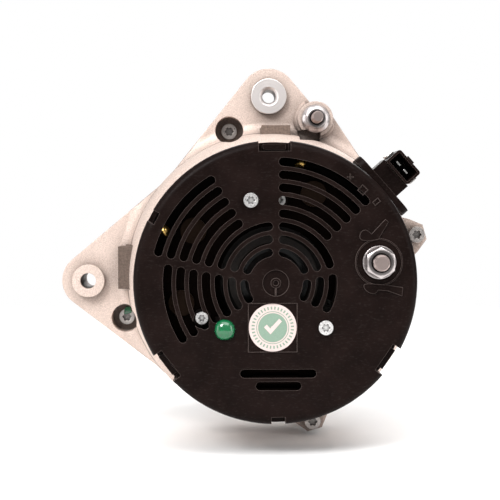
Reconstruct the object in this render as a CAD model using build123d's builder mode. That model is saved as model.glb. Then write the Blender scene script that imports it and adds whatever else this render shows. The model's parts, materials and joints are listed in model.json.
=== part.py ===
from build123d import *
from math import asin, cos, degrees, radians, sin
import os

# Car alternator with a claw-pole rotor, two mounting ears and a slotted rear cover.
# The shaft runs along Y. The origin is on the shaft, in the middle of the belt track of the pulley.
# +Y points out of the pulley, so every station below is a distance BEHIND the belt plane, towards -Y.
# Seen from the rear, +X is to the right and +Z is up, and angles run anticlockwise from +X.

os.makedirs("parts", exist_ok=True)

# ---- driving dimensions, in millimetres and degrees ----
# Stations behind the belt plane
PULLEY_HALF = 13.0
FRONT_BEARING = 17.0
ROTOR_FRONT = 40.0
ROTOR_BACK = 80.0
STATOR_FRONT = 44.0
STATOR_BACK = 76.0
EAR_FACE = 76.0
END_WALL = 103.5
REAR_BEARING = 102.0
COVER_FACE = 140.0

# Radii about the shaft
SHAFT_R = 8.5
POLE_SEAT_R = 9.0
RING_R = 76.0
STATOR_R = 71.0
STATOR_BORE_R = 52.4
ROTOR_R = 52.0
COVER_R = 68.6
COVER_WALL = 2.4
SPIGOT_R = 66.0
PULLEY_R = 28.0
SLIP_RING_R = 8.2

# Mounting ears, as (X, Z) of their holes
TOP_EAR = (-1.3, 95.0)
TOP_EAR_R = 15.0
TOP_EAR_FRONT = 62.0
LEFT_EAR = (-96.5, -2.2)
LEFT_EAR_R = 14.3
LEFT_EAR_FRONT = 51.0
LEFT_BOSS_BACK = 81.0
BOLT_HOLE_R = 4.1
BUSH_R = 9.35
BUSH_THREAD_R = 3.4

# Through bolts that clamp the two brackets: two in deep pockets beside the ears, two on lugs
BOLT_CIRCLE_R = 80.3
POCKET_BOLTS = [106.0, 196.0]
LUG_BOLTS = [16.0, 286.0]
BOLT_ANGLES = POCKET_BOLTS + LUG_BOLTS
BOLT_R = 2.5
BOLT_HEAD_R = 4.2
BOLT_HEAD_H = 4.2
POCKET_R = 7.4
POCKET_FLOOR = 64.0

# Terminals, cover screws, latches and connector
B_PLUS = (49.5, 10.0)
GROUND = (23.0, 82.75)
GROUND_BOSS_R = 9.3
GROUND_BOSS_BACK = 86.0
TOP_COVER_SCREW = (-12.0, 39.7)
LOW_COVER_SCREWS = [(24.0, -21.4), (-24.5, -22.4)]
LATCH_ANGLES = [90.5, 217.3, 325.6]
CONNECTOR_ANGLE = 41.6

# Gap all round a screw, stud or bolt in its hole
FIT = 0.05

# Threads are plain cylinders: full size where they are free, and at the pitch radius inside their nuts,
# where stud and nut share the thread. The free end starts just behind the nut.
M8_R = 4.0
M8_PITCH_R = 3.65
M8_NUT_H = 6.5
M4_R = 2.0
M6_R = 3.0
M6_PITCH_R = 2.7
M6_NUT_H = 6.5
FREE_GAP = 0.5


def back(b):
    """Plane square to the shaft, b behind the belt plane. Its normal points to the rear."""
    return Plane.XZ.offset(b)


def polar(radius, angle):
    """(X, Z) of a point at an angle round the shaft."""
    return (radius * cos(radians(angle)), radius * sin(radians(angle)))


def facing(angle, radius=0.0, b=0.0):
    """Plane whose normal points away from the shaft. Local x runs round the shaft, local y to the rear."""
    x, z = polar(1, angle)
    return Plane(origin=(radius * x, -b, radius * z), x_dir=(-z, 0, x), z_dir=(x, 0, z))


def ring(b0, b1, r_out, r_in=0.0, centres=((0, 0),), mode=Mode.ADD):
    """Round plates, tubes or holes along the shaft direction, from station b0 to station b1."""
    with BuildSketch(back(b0)) as face:
        with Locations(*centres):
            Circle(r_out)
            if r_in:
                Circle(r_in, mode=Mode.SUBTRACT)
    extrude(face.sketch, amount=b1 - b0, mode=mode)


def hexagon(b0, b1, across_flats, centres=((0, 0),), turn=0.0, mode=Mode.ADD):
    """Hexagonal prisms along the shaft direction."""
    with BuildSketch(back(b0)) as face:
        with Locations(*centres):
            RegularPolygon(across_flats / 2, 6, major_radius=False, rotation=turn)
    extrude(face.sketch, amount=b1 - b0, mode=mode)


def star_recess(b0, b1, radius, centres):
    """Six-lobed driver recess."""
    with BuildSketch(back(b0)) as star:
        with Locations(*centres):
            Circle(0.8 * radius)
            with PolarLocations(0.75 * radius, 6):
                Circle(0.27 * radius)
    extrude(star.sketch, amount=b1 - b0, mode=Mode.SUBTRACT)


def slab(b0, b1, x0, x1, z0, z1, mode=Mode.ADD):
    """Rectangular block between two stations."""
    with BuildSketch(back(b0)) as face:
        with Locations(((x0 + x1) / 2, (z0 + z1) / 2)):
            Rectangle(x1 - x0, z1 - z0)
    extrude(face.sketch, amount=b1 - b0, mode=mode)


def radial_block(angle, r0, r1, width, b0, b1, corner=0.0, shift=0.0, mode=Mode.ADD):
    """Block that faces away from the shaft, between two radii and two stations."""
    with BuildSketch(facing(angle, r0, (b0 + b1) / 2)) as face:
        with Locations((shift, 0)):
            if corner:
                RectangleRounded(width, b1 - b0, corner)
            else:
                Rectangle(width, b1 - b0)
    extrude(face.sketch, amount=r1 - r0, mode=mode)


def turned(*outline, mode=Mode.ADD):
    """Solid of revolution round the shaft. The outline is a list of (radius, station) corners."""
    with BuildSketch(Plane.XY) as half:
        with BuildLine():
            Polyline([(r, -b) for r, b in outline], close=True)
        make_face()
    revolve(half.sketch, Axis.Y, mode=mode)


def sector(r_in, r_out, start, end):
    """Face between two radii and two angles."""
    with BuildSketch(Plane.XY) as face:
        with BuildLine():
            outer = CenterArc((0, 0), r_out, start, end - start)
            inner = CenterArc((0, 0), r_in, start, end - start)
            Line(outer @ 0, inner @ 0)
            Line(outer @ 1, inner @ 1)
        make_face()
    return face.sketch


def keep(builder, name):
    """Labels a finished piece and writes it as parts/NAME.step."""
    builder.part.label = name
    export_step(builder.part, f"parts/{name}.step")


# ======================= rotor =======================

SHAFT_NOSE = -21.0
PULLEY_SEAT = -5.0
NOSE_THREAD_R = 8.0
SHOULDER_R = 10.5
SHOULDER_FRONT = 31.0
TAIL_R = 5.0
TAIL_START = 114.0
SHAFT_END = 133.0
with BuildPart() as rotor_shaft:
    turned(
        (0, SHAFT_NOSE), (NOSE_THREAD_R - 0.8, SHAFT_NOSE), (NOSE_THREAD_R, SHAFT_NOSE + 1),
        (NOSE_THREAD_R, PULLEY_SEAT), (SHAFT_R, PULLEY_SEAT), (SHAFT_R, SHOULDER_FRONT),
        (SHOULDER_R, SHOULDER_FRONT), (SHOULDER_R, ROTOR_FRONT), (POLE_SEAT_R, ROTOR_FRONT),
        (POLE_SEAT_R, REAR_BEARING), (SHAFT_R, REAR_BEARING), (SHAFT_R, TAIL_START), (TAIL_R, TAIL_START),
        (TAIL_R, SHAFT_END), (0, SHAFT_END),
    )
    hexagon(SHAFT_NOSE, SHAFT_NOSE + 6, 8, mode=Mode.SUBTRACT)
keep(rotor_shaft, "rotor_shaft")

# Claw poles: two halves, each a disc with a core and six tapering claws that reach between the other's
CLAWS = 6
CLAW_DISC = 11.0
CLAW_ROOT_HALF = 13.5
CLAW_TIP_HALF = 5.5
CLAW_REACH = 38.0
CORE_R = 23.0
DISC_R = 40.0
ROTOR_MIDDLE = (ROTOR_FRONT + ROTOR_BACK) / 2


def claw_pole(disc_side, into, first_angle):
    """One half of the rotor. into is +1 for the front half, whose claws point to the rear."""
    root = disc_side + into * CLAW_DISC
    tip = disc_side + into * CLAW_REACH
    turned((38, disc_side), (ROTOR_R, disc_side), (ROTOR_R, tip), (48, tip), (42, root), (38, root))
    with BuildSketch(*[facing(first_angle + 60 * k, 30, disc_side) for k in range(CLAWS)]) as outline:
        with BuildLine():
            Polyline(
                [
                    (-CLAW_ROOT_HALF, 0),
                    (CLAW_ROOT_HALF, 0),
                    (CLAW_TIP_HALF, into * CLAW_REACH),
                    (-CLAW_TIP_HALF, into * CLAW_REACH),
                ],
                close=True,
            )
        make_face()
    extrude(outline.sketch, amount=30, mode=Mode.INTERSECT)
    low, high = sorted((disc_side, root))
    ring(low, high, DISC_R)
    low, high = sorted((disc_side, ROTOR_MIDDLE))
    ring(low, high, CORE_R)
    ring(ROTOR_FRONT, ROTOR_BACK, POLE_SEAT_R, mode=Mode.SUBTRACT)


with BuildPart() as claw_pole_front:
    claw_pole(ROTOR_FRONT, 1, 0)
keep(claw_pole_front, "claw_pole_front")

with BuildPart() as claw_pole_rear:
    claw_pole(ROTOR_BACK, -1, 30)
keep(claw_pole_rear, "claw_pole_rear")

# Field coil on its plastic bobbin, between the two discs
COIL_FRONT = ROTOR_FRONT + CLAW_DISC + 0.1
COIL_BACK = ROTOR_BACK - CLAW_DISC - 0.1
FLANGE_T = 1.2
FLANGE_R = 40.5
COIL_R = 39.6
BARREL_R = 24.4
with BuildPart() as coil_bobbin:
    ring(COIL_FRONT, COIL_BACK, BARREL_R, CORE_R)
    ring(COIL_FRONT, COIL_FRONT + FLANGE_T, FLANGE_R, CORE_R)
    ring(COIL_BACK - FLANGE_T, COIL_BACK, FLANGE_R, CORE_R)
keep(coil_bobbin, "coil_bobbin")

with BuildPart() as field_coil:
    ring(COIL_FRONT + FLANGE_T, COIL_BACK - FLANGE_T, COIL_R, BARREL_R)
keep(field_coil, "field_coil")

# Cooling fans: a stamped disc with leaning blades on each side of the rotor
FAN_PLATE = 1.2
FAN_R = 47.0
FAN_BORE_R = 12.0
BLADE_MIDDLE_R = 37.5
BLADE_LENGTH = 19.0
BLADE_T = 1.4


def fan(disc_from, blade_from, blade_to, blades, lean):
    """Disc with straight blades that lean against the turn."""
    ring(disc_from, disc_from + FAN_PLATE, FAN_R, FAN_BORE_R)
    with BuildSketch(back(blade_from)) as face:
        with PolarLocations(BLADE_MIDDLE_R, blades):
            Rectangle(BLADE_LENGTH, BLADE_T, rotation=lean)
    extrude(face.sketch, amount=blade_to - blade_from)


with BuildPart() as front_fan:
    fan(ROTOR_FRONT - FAN_PLATE, 35, ROTOR_FRONT - FAN_PLATE, 11, 35)
keep(front_fan, "front_fan")

with BuildPart() as rear_fan:
    fan(ROTOR_BACK, ROTOR_BACK + FAN_PLATE, 91, 12, -35)
keep(rear_fan, "rear_fan")

# Two copper slip rings on a plastic hub, behind the rear bearing
SLIP_RING_W = 6.5
SLIP_RINGS = [117.0, 125.5]
HUB_R = 6.6
HUB_FLANGE_R = 7.6
with BuildPart() as slip_ring_hub:
    ring(TAIL_START + 0.5, SHAFT_END + 0.5, HUB_R, TAIL_R)
    for start in SLIP_RINGS:
        ring(start + SLIP_RING_W, start + SLIP_RING_W + 1.5, HUB_FLANGE_R, TAIL_R)
keep(slip_ring_hub, "slip_ring_hub")

with BuildPart() as slip_rings:
    for start in SLIP_RINGS:
        ring(start, start + SLIP_RING_W, SLIP_RING_R, HUB_R)
keep(slip_rings, "slip_rings")

# Pulley with six ribs, its spacer, washer and nut
RIBS = 6
RIB_PITCH = 3.56
RIB_DEPTH = 2.8
PULLEY_WELL_R = 19.0
PULLEY_RIM_R = 23.0
with BuildPart() as pulley:
    first = -RIB_PITCH * RIBS / 2
    track = [(PULLEY_R + 1, -PULLEY_HALF), (PULLEY_R + 1, first)]
    for n in range(RIBS):
        low = first + n * RIB_PITCH
        track += [(PULLEY_R, low), (PULLEY_R - RIB_DEPTH, low + 1.4), (PULLEY_R - RIB_DEPTH, low + 2.1)]
    track += [(PULLEY_R, -first), (PULLEY_R + 1, -first), (PULLEY_R + 1, PULLEY_HALF)]
    turned(
        (SHAFT_R, PULLEY_SEAT), (14.5, PULLEY_SEAT), (PULLEY_WELL_R, -10), (PULLEY_WELL_R, -PULLEY_HALF),
        (PULLEY_RIM_R, -PULLEY_HALF), *track, (PULLEY_RIM_R, PULLEY_HALF), (PULLEY_RIM_R, 6), (14, 6),
        (14, PULLEY_HALF), (SHAFT_R, PULLEY_HALF),
    )
keep(pulley, "pulley")

with BuildPart() as pulley_spacer:
    ring(PULLEY_HALF, FRONT_BEARING, 12.5, SHAFT_R)
keep(pulley_spacer, "pulley_spacer")

NUT_SEAT = PULLEY_SEAT - 1.6
PULLEY_NUT_FRONT = -18.0
with BuildPart() as pulley_washer:
    ring(NUT_SEAT, PULLEY_SEAT, 13.5, NOSE_THREAD_R + 0.1)
keep(pulley_washer, "pulley_washer")

with BuildPart() as pulley_nut:
    hexagon(PULLEY_NUT_FRONT, NUT_SEAT, 24)
    ring(NUT_SEAT - 1.8, NUT_SEAT, 13.4)
    ring(PULLEY_NUT_FRONT - 2, PULLEY_SEAT, NOSE_THREAD_R + FIT, mode=Mode.SUBTRACT)
keep(pulley_nut, "pulley_nut")


# ======================= bearings =======================
# Deep-groove ball bearings: (bore radius, outside radius, width, ball radius, pitch radius, ball count)
FRONT_BALL = (SHAFT_R, 23.5, 14.0, 4.2, 16.0, 7)
REAR_BALL = (SHAFT_R, 17.5, 10.0, 2.38, 13.0, 9)
GROOVE_GAP = 0.05
SHOULDER = 0.56
HALF_CAGE = 0.38


def race(start, bearing, inner):
    """Inner or outer race, with its ball groove."""
    bore, outside, width, ball, pitch, count = bearing
    if inner:
        ring(start, start + width, pitch - SHOULDER * ball, bore)
    else:
        ring(start, start + width, outside, pitch + SHOULDER * ball)
    with BuildSketch(Plane.XY) as groove:
        with Locations((pitch, -(start + width / 2))):
            Circle(ball + GROOVE_GAP)
    revolve(groove.sketch, Axis.Y, mode=Mode.SUBTRACT)


def ball_row(start, bearing):
    bore, outside, width, ball, pitch, count = bearing
    for k in range(count):
        x, z = polar(pitch, k * 360 / count)
        with Locations((x, -(start + width / 2), z)):
            Sphere(ball)


def cage(start, bearing):
    """Ring between the races, with a round pocket for each ball."""
    bore, outside, width, ball, pitch, count = bearing
    middle = start + width / 2
    reach = ball + 0.8
    ring(middle - reach, middle + reach, pitch + HALF_CAGE * ball, pitch - HALF_CAGE * ball)
    with BuildSketch(*[facing(k * 360 / count, pitch / 2, middle) for k in range(count)]) as pockets:
        Circle(ball + 0.12)
    extrude(pockets.sketch, amount=pitch, mode=Mode.SUBTRACT)


def seals(start, bearing):
    """A bearing's two thin seals, held by the outer race and clear of the inner race."""
    bore, outside, width, ball, pitch, count = bearing
    for low in (start + 0.4, start + width - 1.2):
        ring(low, low + 0.8, pitch + SHOULDER * ball, pitch - SHOULDER * ball + 0.15)


for place, start, bearing in (("front", FRONT_BEARING, FRONT_BALL), ("rear", REAR_BEARING, REAR_BALL)):
    with BuildPart() as inner_race:
        race(start, bearing, inner=True)
    keep(inner_race, f"{place}_bearing_inner_race")
    with BuildPart() as outer_race:
        race(start, bearing, inner=False)
    keep(outer_race, f"{place}_bearing_outer_race")
    with BuildPart() as ball_set:
        ball_row(start, bearing)
    keep(ball_set, f"{place}_bearing_balls")
    with BuildPart() as ball_cage:
        cage(start, bearing)
    keep(ball_cage, f"{place}_bearing_cage")

with BuildPart() as bearing_seals:
    seals(FRONT_BEARING, FRONT_BALL)
    seals(REAR_BEARING, REAR_BALL)
keep(bearing_seals, "bearing_seals")

REAR_HUB_BORE_R = 18.75
REAR_HUB_BACK = 113.0
with BuildPart() as rear_bearing_sleeve:
    ring(REAR_BEARING, REAR_HUB_BACK, REAR_HUB_BORE_R, 17.5)
keep(rear_bearing_sleeve, "rear_bearing_sleeve")

# Plate that holds the front bearing in its hub, with four flush screws
RETAINER_FRONT = 31.0
RETAINER_BACK = 33.5
RETAINER_HEAD = 32.0
RETAINER_SCREWS = [polar(27, angle) for angle in (45, 135, 225, 315)]
with BuildPart() as bearing_retainer:
    ring(RETAINER_FRONT, RETAINER_BACK, 30.4, 14.5)
    ring(RETAINER_FRONT, RETAINER_BACK, M4_R + FIT, centres=RETAINER_SCREWS, mode=Mode.SUBTRACT)
    ring(RETAINER_HEAD, RETAINER_BACK, 3.2, centres=RETAINER_SCREWS, mode=Mode.SUBTRACT)
keep(bearing_retainer, "bearing_retainer")

with BuildPart() as retainer_screws:
    ring(22, RETAINER_HEAD, M4_R, centres=RETAINER_SCREWS)
    ring(RETAINER_HEAD, RETAINER_BACK - 0.1, 3.1, centres=RETAINER_SCREWS)
    star_recess(RETAINER_HEAD + 0.6, RETAINER_BACK, 1.5, RETAINER_SCREWS)
keep(retainer_screws, "retainer_screws")


# ======================= stator =======================
SLOTS = 36
SLOT_PITCH = 360 / SLOTS
SLOT_W = 5.2
SLOT_INNER_R = 54.0
SLOT_OUTER_R = 65.5
SLOT_MIDDLE_R = (SLOT_INNER_R + SLOT_OUTER_R) / 2
SLOT_DEPTH = SLOT_OUTER_R - SLOT_INNER_R
SLOT_MOUTH = 2.8

with BuildPart() as stator_core:
    with BuildSketch(back(STATOR_FRONT)) as lamination:
        Circle(STATOR_R)
        Circle(STATOR_BORE_R, mode=Mode.SUBTRACT)
        with PolarLocations(SLOT_MIDDLE_R, SLOTS):
            Rectangle(SLOT_DEPTH, SLOT_W, mode=Mode.SUBTRACT)
        with PolarLocations(STATOR_BORE_R, SLOTS):
            Rectangle(4, SLOT_MOUTH, mode=Mode.SUBTRACT)
    extrude(amount=STATOR_BACK - STATOR_FRONT)
keep(stator_core, "stator_core")

with BuildPart() as slot_insulation:
    with BuildSketch(back(STATOR_FRONT - 1.5)) as liners:
        with PolarLocations(SLOT_MIDDLE_R, SLOTS):
            Rectangle(SLOT_DEPTH - 0.3, SLOT_W - 0.2)
        with PolarLocations(SLOT_MIDDLE_R, SLOTS):
            Rectangle(SLOT_DEPTH - 0.9, SLOT_W - 0.8, mode=Mode.SUBTRACT)
    extrude(amount=STATOR_BACK - STATOR_FRONT + 3)
keep(slot_insulation, "slot_insulation")

# One wave winding per phase: bars in every third slot, joined by arches in front and behind.
# Each phase's lead rises from an arch to the rectifier, at (radius, angle).
PHASE_R = {"u": 62.9, "v": SLOT_MIDDLE_R, "w": 56.6}
LEAD_PLACE = {"u": (58.6, 155.3), "v": (60.0, 185.0), "w": (58.6, 77.6)}
LEAD_R = 1.2
LEAD_BACK = 130.0
PHASE_LEADS = [polar(*place) for place in LEAD_PLACE.values()]
ARCH_T = 2.8
BAR_W = 4.2
BAR_OUT = 2.0
ARCH_FOOT = 6.0
ARCH_TOP = 11.0
for number, (phase, arch_r) in enumerate(PHASE_R.items()):
    first = number * SLOT_PITCH
    slot_angles = [first + 3 * SLOT_PITCH * k for k in range(SLOTS // 3)]
    half_bar = degrees(BAR_W / 2 / arch_r)
    r_in = arch_r - ARCH_T / 2
    r_out = arch_r + ARCH_T / 2
    with BuildPart() as winding:
        with BuildSketch(back(STATOR_FRONT - BAR_OUT)) as bars:
            with PolarLocations(SLOT_MIDDLE_R, SLOTS // 3, start_angle=first):
                Rectangle(SLOT_DEPTH - 1.3, BAR_W)
        extrude(amount=STATOR_BACK - STATOR_FRONT + 2 * BAR_OUT)
        for low in (STATOR_FRONT - ARCH_FOOT, STATOR_BACK + BAR_OUT):
            with BuildSketch(back(low)) as feet:
                for angle in slot_angles:
                    add(sector(r_in, r_out, angle - half_bar, angle + half_bar))
            extrude(amount=ARCH_FOOT - BAR_OUT)
        for low, odd in ((STATOR_FRONT - ARCH_TOP, 0), (STATOR_BACK + ARCH_FOOT, 1)):
            with BuildSketch(back(low)) as arches:
                for angle in slot_angles[odd::2]:
                    add(sector(r_in, r_out, angle - half_bar, angle + 3 * SLOT_PITCH + half_bar))
            extrude(amount=ARCH_TOP - ARCH_FOOT)
        lead_r, lead_angle = LEAD_PLACE[phase]
        if phase == "u":
            with BuildSketch(back(STATOR_BACK + ARCH_FOOT)) as jumper:
                add(sector(lead_r - LEAD_R, r_in + 1, lead_angle - 1.1, lead_angle + 1.1))
            extrude(amount=ARCH_TOP - ARCH_FOOT)
        spot = [polar(lead_r, lead_angle)]
        ring(STATOR_BACK + ARCH_FOOT + 1.5, LEAD_BACK, LEAD_R, centres=spot)
        ring(LEAD_BACK - 3.5, LEAD_BACK, 1.9, centres=spot)
    keep(winding, f"winding_phase_{phase}")


# ======================= front bracket =======================
FRONT_RIM_BACK = 52.0
FRONT_RIM_R = 75.0
FRONT_LUG = 34.0
FRONT_HUB_FACE = 14.5
FRONT_HUB_R = 28.0
FRONT_HUB_WALL_R = 30.5
FRONT_HUB_BORE_R = 16.0
FRONT_SEAT_R = 23.5
SKIRT_BORE_R = 67.5
FACE_VENT_R = (35.0, 54.0)
FACE_SPOKES = 12
FACE_SPOKE_W = 6.5
SKIRT_SLOT_W = 7.2
SKIRT_SLOT_L = 14.0
with BuildPart() as front_bracket:
    # Bell with the bearing hub in its middle and a lip over the edge of the stator
    turned(
        # Outside, from the hub out to the rim
        (FRONT_HUB_BORE_R, FRONT_HUB_FACE), (FRONT_HUB_R, FRONT_HUB_FACE),
        (FRONT_HUB_R + 2, FRONT_HUB_FACE + 1.5), (50, 18), (62, 22), (70, 28), (73.5, 34),
        (FRONT_RIM_R, 40), (FRONT_RIM_R, FRONT_RIM_BACK),
        # Lip over the stator, then the inside back to the hub
        (STATOR_R, FRONT_RIM_BACK), (STATOR_R, STATOR_FRONT), (SKIRT_BORE_R, STATOR_FRONT),
        (SKIRT_BORE_R, 38), (66, 32), (58, 26), (46, 22.5),
        (FRONT_HUB_WALL_R, 20.5), (FRONT_HUB_WALL_R, RETAINER_FRONT),
        # Bearing seat
        (FRONT_SEAT_R, RETAINER_FRONT), (FRONT_SEAT_R, FRONT_BEARING), (FRONT_HUB_BORE_R, FRONT_BEARING),
    )
    # Air openings in the face and round the skirt
    with BuildSketch(back(12)) as face_vents:
        Circle(FACE_VENT_R[1])
        Circle(FACE_VENT_R[0], mode=Mode.SUBTRACT)
        with PolarLocations(42, FACE_SPOKES, start_angle=16):
            Rectangle(30, FACE_SPOKE_W, mode=Mode.SUBTRACT)
        fillet(face_vents.vertices(), 2)
    extrude(amount=14, mode=Mode.SUBTRACT)
    skirt_angles = [1 + 10 * k for k in range(36)]
    open_angles = [a for a in skirt_angles if all(abs((a - s + 180) % 360 - 180) > 9 for s in BOLT_ANGLES)]
    with BuildSketch(*[facing(a, 55, 33) for a in open_angles]) as skirt_vents:
        RectangleRounded(SKIRT_SLOT_W, SKIRT_SLOT_L, 2)
    extrude(amount=25, mode=Mode.SUBTRACT)
    # Threaded lugs for the through bolts
    for angle in BOLT_ANGLES:
        radial_block(angle, 72, BOLT_CIRCLE_R, 13, FRONT_LUG, FRONT_RIM_BACK)
    spots = [polar(BOLT_CIRCLE_R, angle) for angle in BOLT_ANGLES]
    ring(FRONT_LUG, FRONT_RIM_BACK, 6.5, centres=spots)
    ring(FRONT_LUG, FRONT_RIM_BACK, BOLT_R + FIT, centres=spots, mode=Mode.SUBTRACT)
    ring(21, RETAINER_FRONT, M4_R + FIT, centres=RETAINER_SCREWS, mode=Mode.SUBTRACT)
keep(front_bracket, "front_bracket")


# ======================= rear bracket with the ears =======================
REAR_RIM_FRONT = 66.0
WEB_FRONT = 67.0
RIB_FRONT = 60.0
WALL_FRONT = 98.0
SPIGOT_BACK = 109.0
REAR_HUB_R = 22.5
LUG_R = 85.3
BLOCKS_BACK = 96.0
RECTIFIER_SCREWS = [polar(39.9, 206.5), polar(40, 87), polar(38, -12)]
NEGATIVE_PLATE = 107.0
POST_BACK = 128.0
POST_R = 4.2


def ear_hull(centre, radius, ring_r):
    """Outline of a lug that runs in straight sides onto the round body."""
    with BuildSketch(Plane.XY) as hull:
        with BuildLine():
            CenterArc((0, 0), ring_r, 0, 360)
            CenterArc(centre, radius, 0, 360)
        make_hull()
    return hull.sketch


def web_outline(shrink=0.0):
    """The web that carries both ears and the ground boss. Its round parts lie inside the bell's wall."""
    with BuildSketch(Plane.XY) as web:
        add(ear_hull(TOP_EAR, TOP_EAR_R - shrink, RING_R - 0.8 - shrink))
        add(ear_hull(LEFT_EAR, LEFT_EAR_R - shrink, RING_R - 1.2 - shrink))
        add(ear_hull(GROUND, GROUND_BOSS_R - shrink, RING_R - 1.6 - shrink))
    return web.sketch


# Cast flare that leads from the face of the web up onto the bell, kept to the web's outline
FLARE = 6.0
with BuildPart() as web_flare:
    with BuildSketch(Plane.XY) as flare:
        with BuildLine():
            foot = (RING_R + FLARE, -EAR_FACE)
            top = (RING_R, -EAR_FACE - FLARE)
            inside = RING_R - 4
            root = 1 - EAR_FACE
            RadiusArc(foot, top, -FLARE)
            Polyline(top, (inside, top[1]), (inside, root), (foot[0], root), foot)
        make_face()
    revolve(flare.sketch, Axis.Y)
    with BuildSketch(back(EAR_FACE - 2)) as flare_outline:
        add(web_outline(shrink=0.3))
    extrude(flare_outline.sketch, amount=FLARE + 4, mode=Mode.INTERSECT)

with BuildPart() as rear_bracket:
    # Bell with the bearing hub, and the spigot that the cover fits over
    turned(
        (68, REAR_RIM_FRONT), (RING_R, REAR_RIM_FRONT), (RING_R, 78), (74, 96), (72, 100.5), (69, END_WALL),
        (SPIGOT_R, END_WALL), (SPIGOT_R, SPIGOT_BACK), (SPIGOT_R - 3, SPIGOT_BACK), (SPIGOT_R - 3, END_WALL),
        (REAR_HUB_R, END_WALL), (REAR_HUB_R, REAR_HUB_BACK), (REAR_HUB_BORE_R, REAR_HUB_BACK),
        (REAR_HUB_BORE_R, REAR_BEARING), (15, REAR_BEARING), (15, WALL_FRONT), (62, WALL_FRONT), (67.5, 90),
        (67.5, REAR_RIM_FRONT),
    )
    # Air openings in the end wall, and in the skirt away from the ears
    with BuildSketch(back(95)) as wall_vents:
        with PolarLocations(42, 18):
            SlotOverall(30, 6.5)
    extrude(amount=12, mode=Mode.SUBTRACT)
    outlets = [a for a in range(236, 396, 10) if all(abs(a - s) > 8 for s in (286, 376))]
    with BuildSketch(*[facing(a, 60, 87) for a in outlets]) as skirt_outlets:
        RectangleRounded(7.2, 13, 2)
    extrude(amount=20, mode=Mode.SUBTRACT)
    # Web with a stiffening edge, the two ears, the ground boss and the bolt pockets
    with BuildSketch(back(WEB_FRONT)) as web:
        add(web_outline())
        Circle(70, mode=Mode.SUBTRACT)
    extrude(amount=EAR_FACE - WEB_FRONT)
    add(web_flare.part)
    with BuildSketch(back(RIB_FRONT)) as edge_rib:
        add(web_outline())
        add(web_outline(shrink=4.0), mode=Mode.SUBTRACT)
        add(sector(5, 140, 36, 232), mode=Mode.INTERSECT)
    extrude(amount=WEB_FRONT - RIB_FRONT)
    sunk = WEB_FRONT + 3
    ring(TOP_EAR_FRONT, sunk, TOP_EAR_R - 0.1, centres=[TOP_EAR])
    ring(LEFT_EAR_FRONT, sunk, LEFT_EAR_R - 0.1, centres=[LEFT_EAR])
    ring(sunk, LEFT_BOSS_BACK, 8.6, centres=[LEFT_EAR])
    ring(sunk, GROUND_BOSS_BACK, GROUND_BOSS_R - 0.1, centres=[GROUND])
    with BuildSketch(back(sunk)) as ground_pad:
        with Locations(GROUND):
            Circle(12.8)
        add(web_outline(shrink=0.2), mode=Mode.INTERSECT)
    extrude(amount=10, taper=14)
    pockets = [polar(BOLT_CIRCLE_R, angle) for angle in POCKET_BOLTS]
    ring(58, sunk, 9.9, centres=pockets)
    # Polygonal lugs for the other two bolts
    for angle in LUG_BOLTS:
        with BuildSketch(back(REAR_RIM_FRONT + 0.5)) as lug:
            with BuildLine():
                corners = ((72, -13), (79, -9), (LUG_R, -4), (LUG_R, 4), (79, 9), (72, 13))
                Polyline([Vector(x, y).rotate(Axis.Z, angle) for x, y in corners], close=True)
            make_face()
        extrude(amount=EAR_FACE - REAR_RIM_FRONT - 0.5)
    # Rough cast blocks beside the cover
    slab(sunk, BLOCKS_BACK, -79.4, -71, -5.4, 16.3)
    slab(sunk, BLOCKS_BACK - 4, -5.3, 9.4, 71, 79)
    # Posts for the cover screws and seats for the rectifier
    posts = [TOP_COVER_SCREW, *LOW_COVER_SCREWS]
    ring(99, POST_BACK, POST_R, centres=posts)
    ring(99, END_WALL - 1, 7, centres=posts)
    ring(99, NEGATIVE_PLATE, 5.2, centres=RECTIFIER_SCREWS)
    # Stator seat, recess beside the ground boss, and all bores
    ring(50, STATOR_BACK, STATOR_R, mode=Mode.SUBTRACT)
    slab(EAR_FACE, 100, 14, 25.5, 71, 77, mode=Mode.SUBTRACT)
    ring(POCKET_FLOOR, 104, POCKET_R, centres=pockets, mode=Mode.SUBTRACT)
    spots = [polar(BOLT_CIRCLE_R, angle) for angle in BOLT_ANGLES]
    ring(56, 80, BOLT_R + FIT, centres=spots, mode=Mode.SUBTRACT)
    ring(60, 80, BUSH_R + 0.03, centres=[TOP_EAR], mode=Mode.SUBTRACT)
    ring(50, 85, BOLT_HOLE_R, centres=[LEFT_EAR], mode=Mode.SUBTRACT)
    ring(70, 90, M6_R + FIT, centres=[GROUND], mode=Mode.SUBTRACT)
    ring(114, POST_BACK, M4_R + FIT, centres=posts, mode=Mode.SUBTRACT)
    ring(98.5, NEGATIVE_PLATE + 1, M4_R + FIT, centres=RECTIFIER_SCREWS, mode=Mode.SUBTRACT)
    ring(95, 105, 2.2, centres=PHASE_LEADS, mode=Mode.SUBTRACT)
keep(rear_bracket, "rear_bracket")

# Steel bush that slides in the upper ear to take up the gap in the engine's bracket
with BuildPart() as mounting_bush:
    ring(63, 80, BUSH_R, BUSH_THREAD_R, centres=[TOP_EAR])
    chamfer(mounting_bush.edges().filter_by(GeomType.CIRCLE).sort_by(SortBy.RADIUS)[:2], 1.5)
keep(mounting_bush, "mounting_bush")

with BuildPart() as through_bolts:
    for angles, seat in ((POCKET_BOLTS, POCKET_FLOOR), (LUG_BOLTS, EAR_FACE)):
        spots = [polar(BOLT_CIRCLE_R, angle) for angle in angles]
        ring(FRONT_LUG + 2, seat, BOLT_R, centres=spots)
        ring(seat, seat + BOLT_HEAD_H, BOLT_HEAD_R, centres=spots)
        star_recess(seat + 1.8, seat + BOLT_HEAD_H, 2.4, spots)
keep(through_bolts, "through_bolts")

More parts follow.
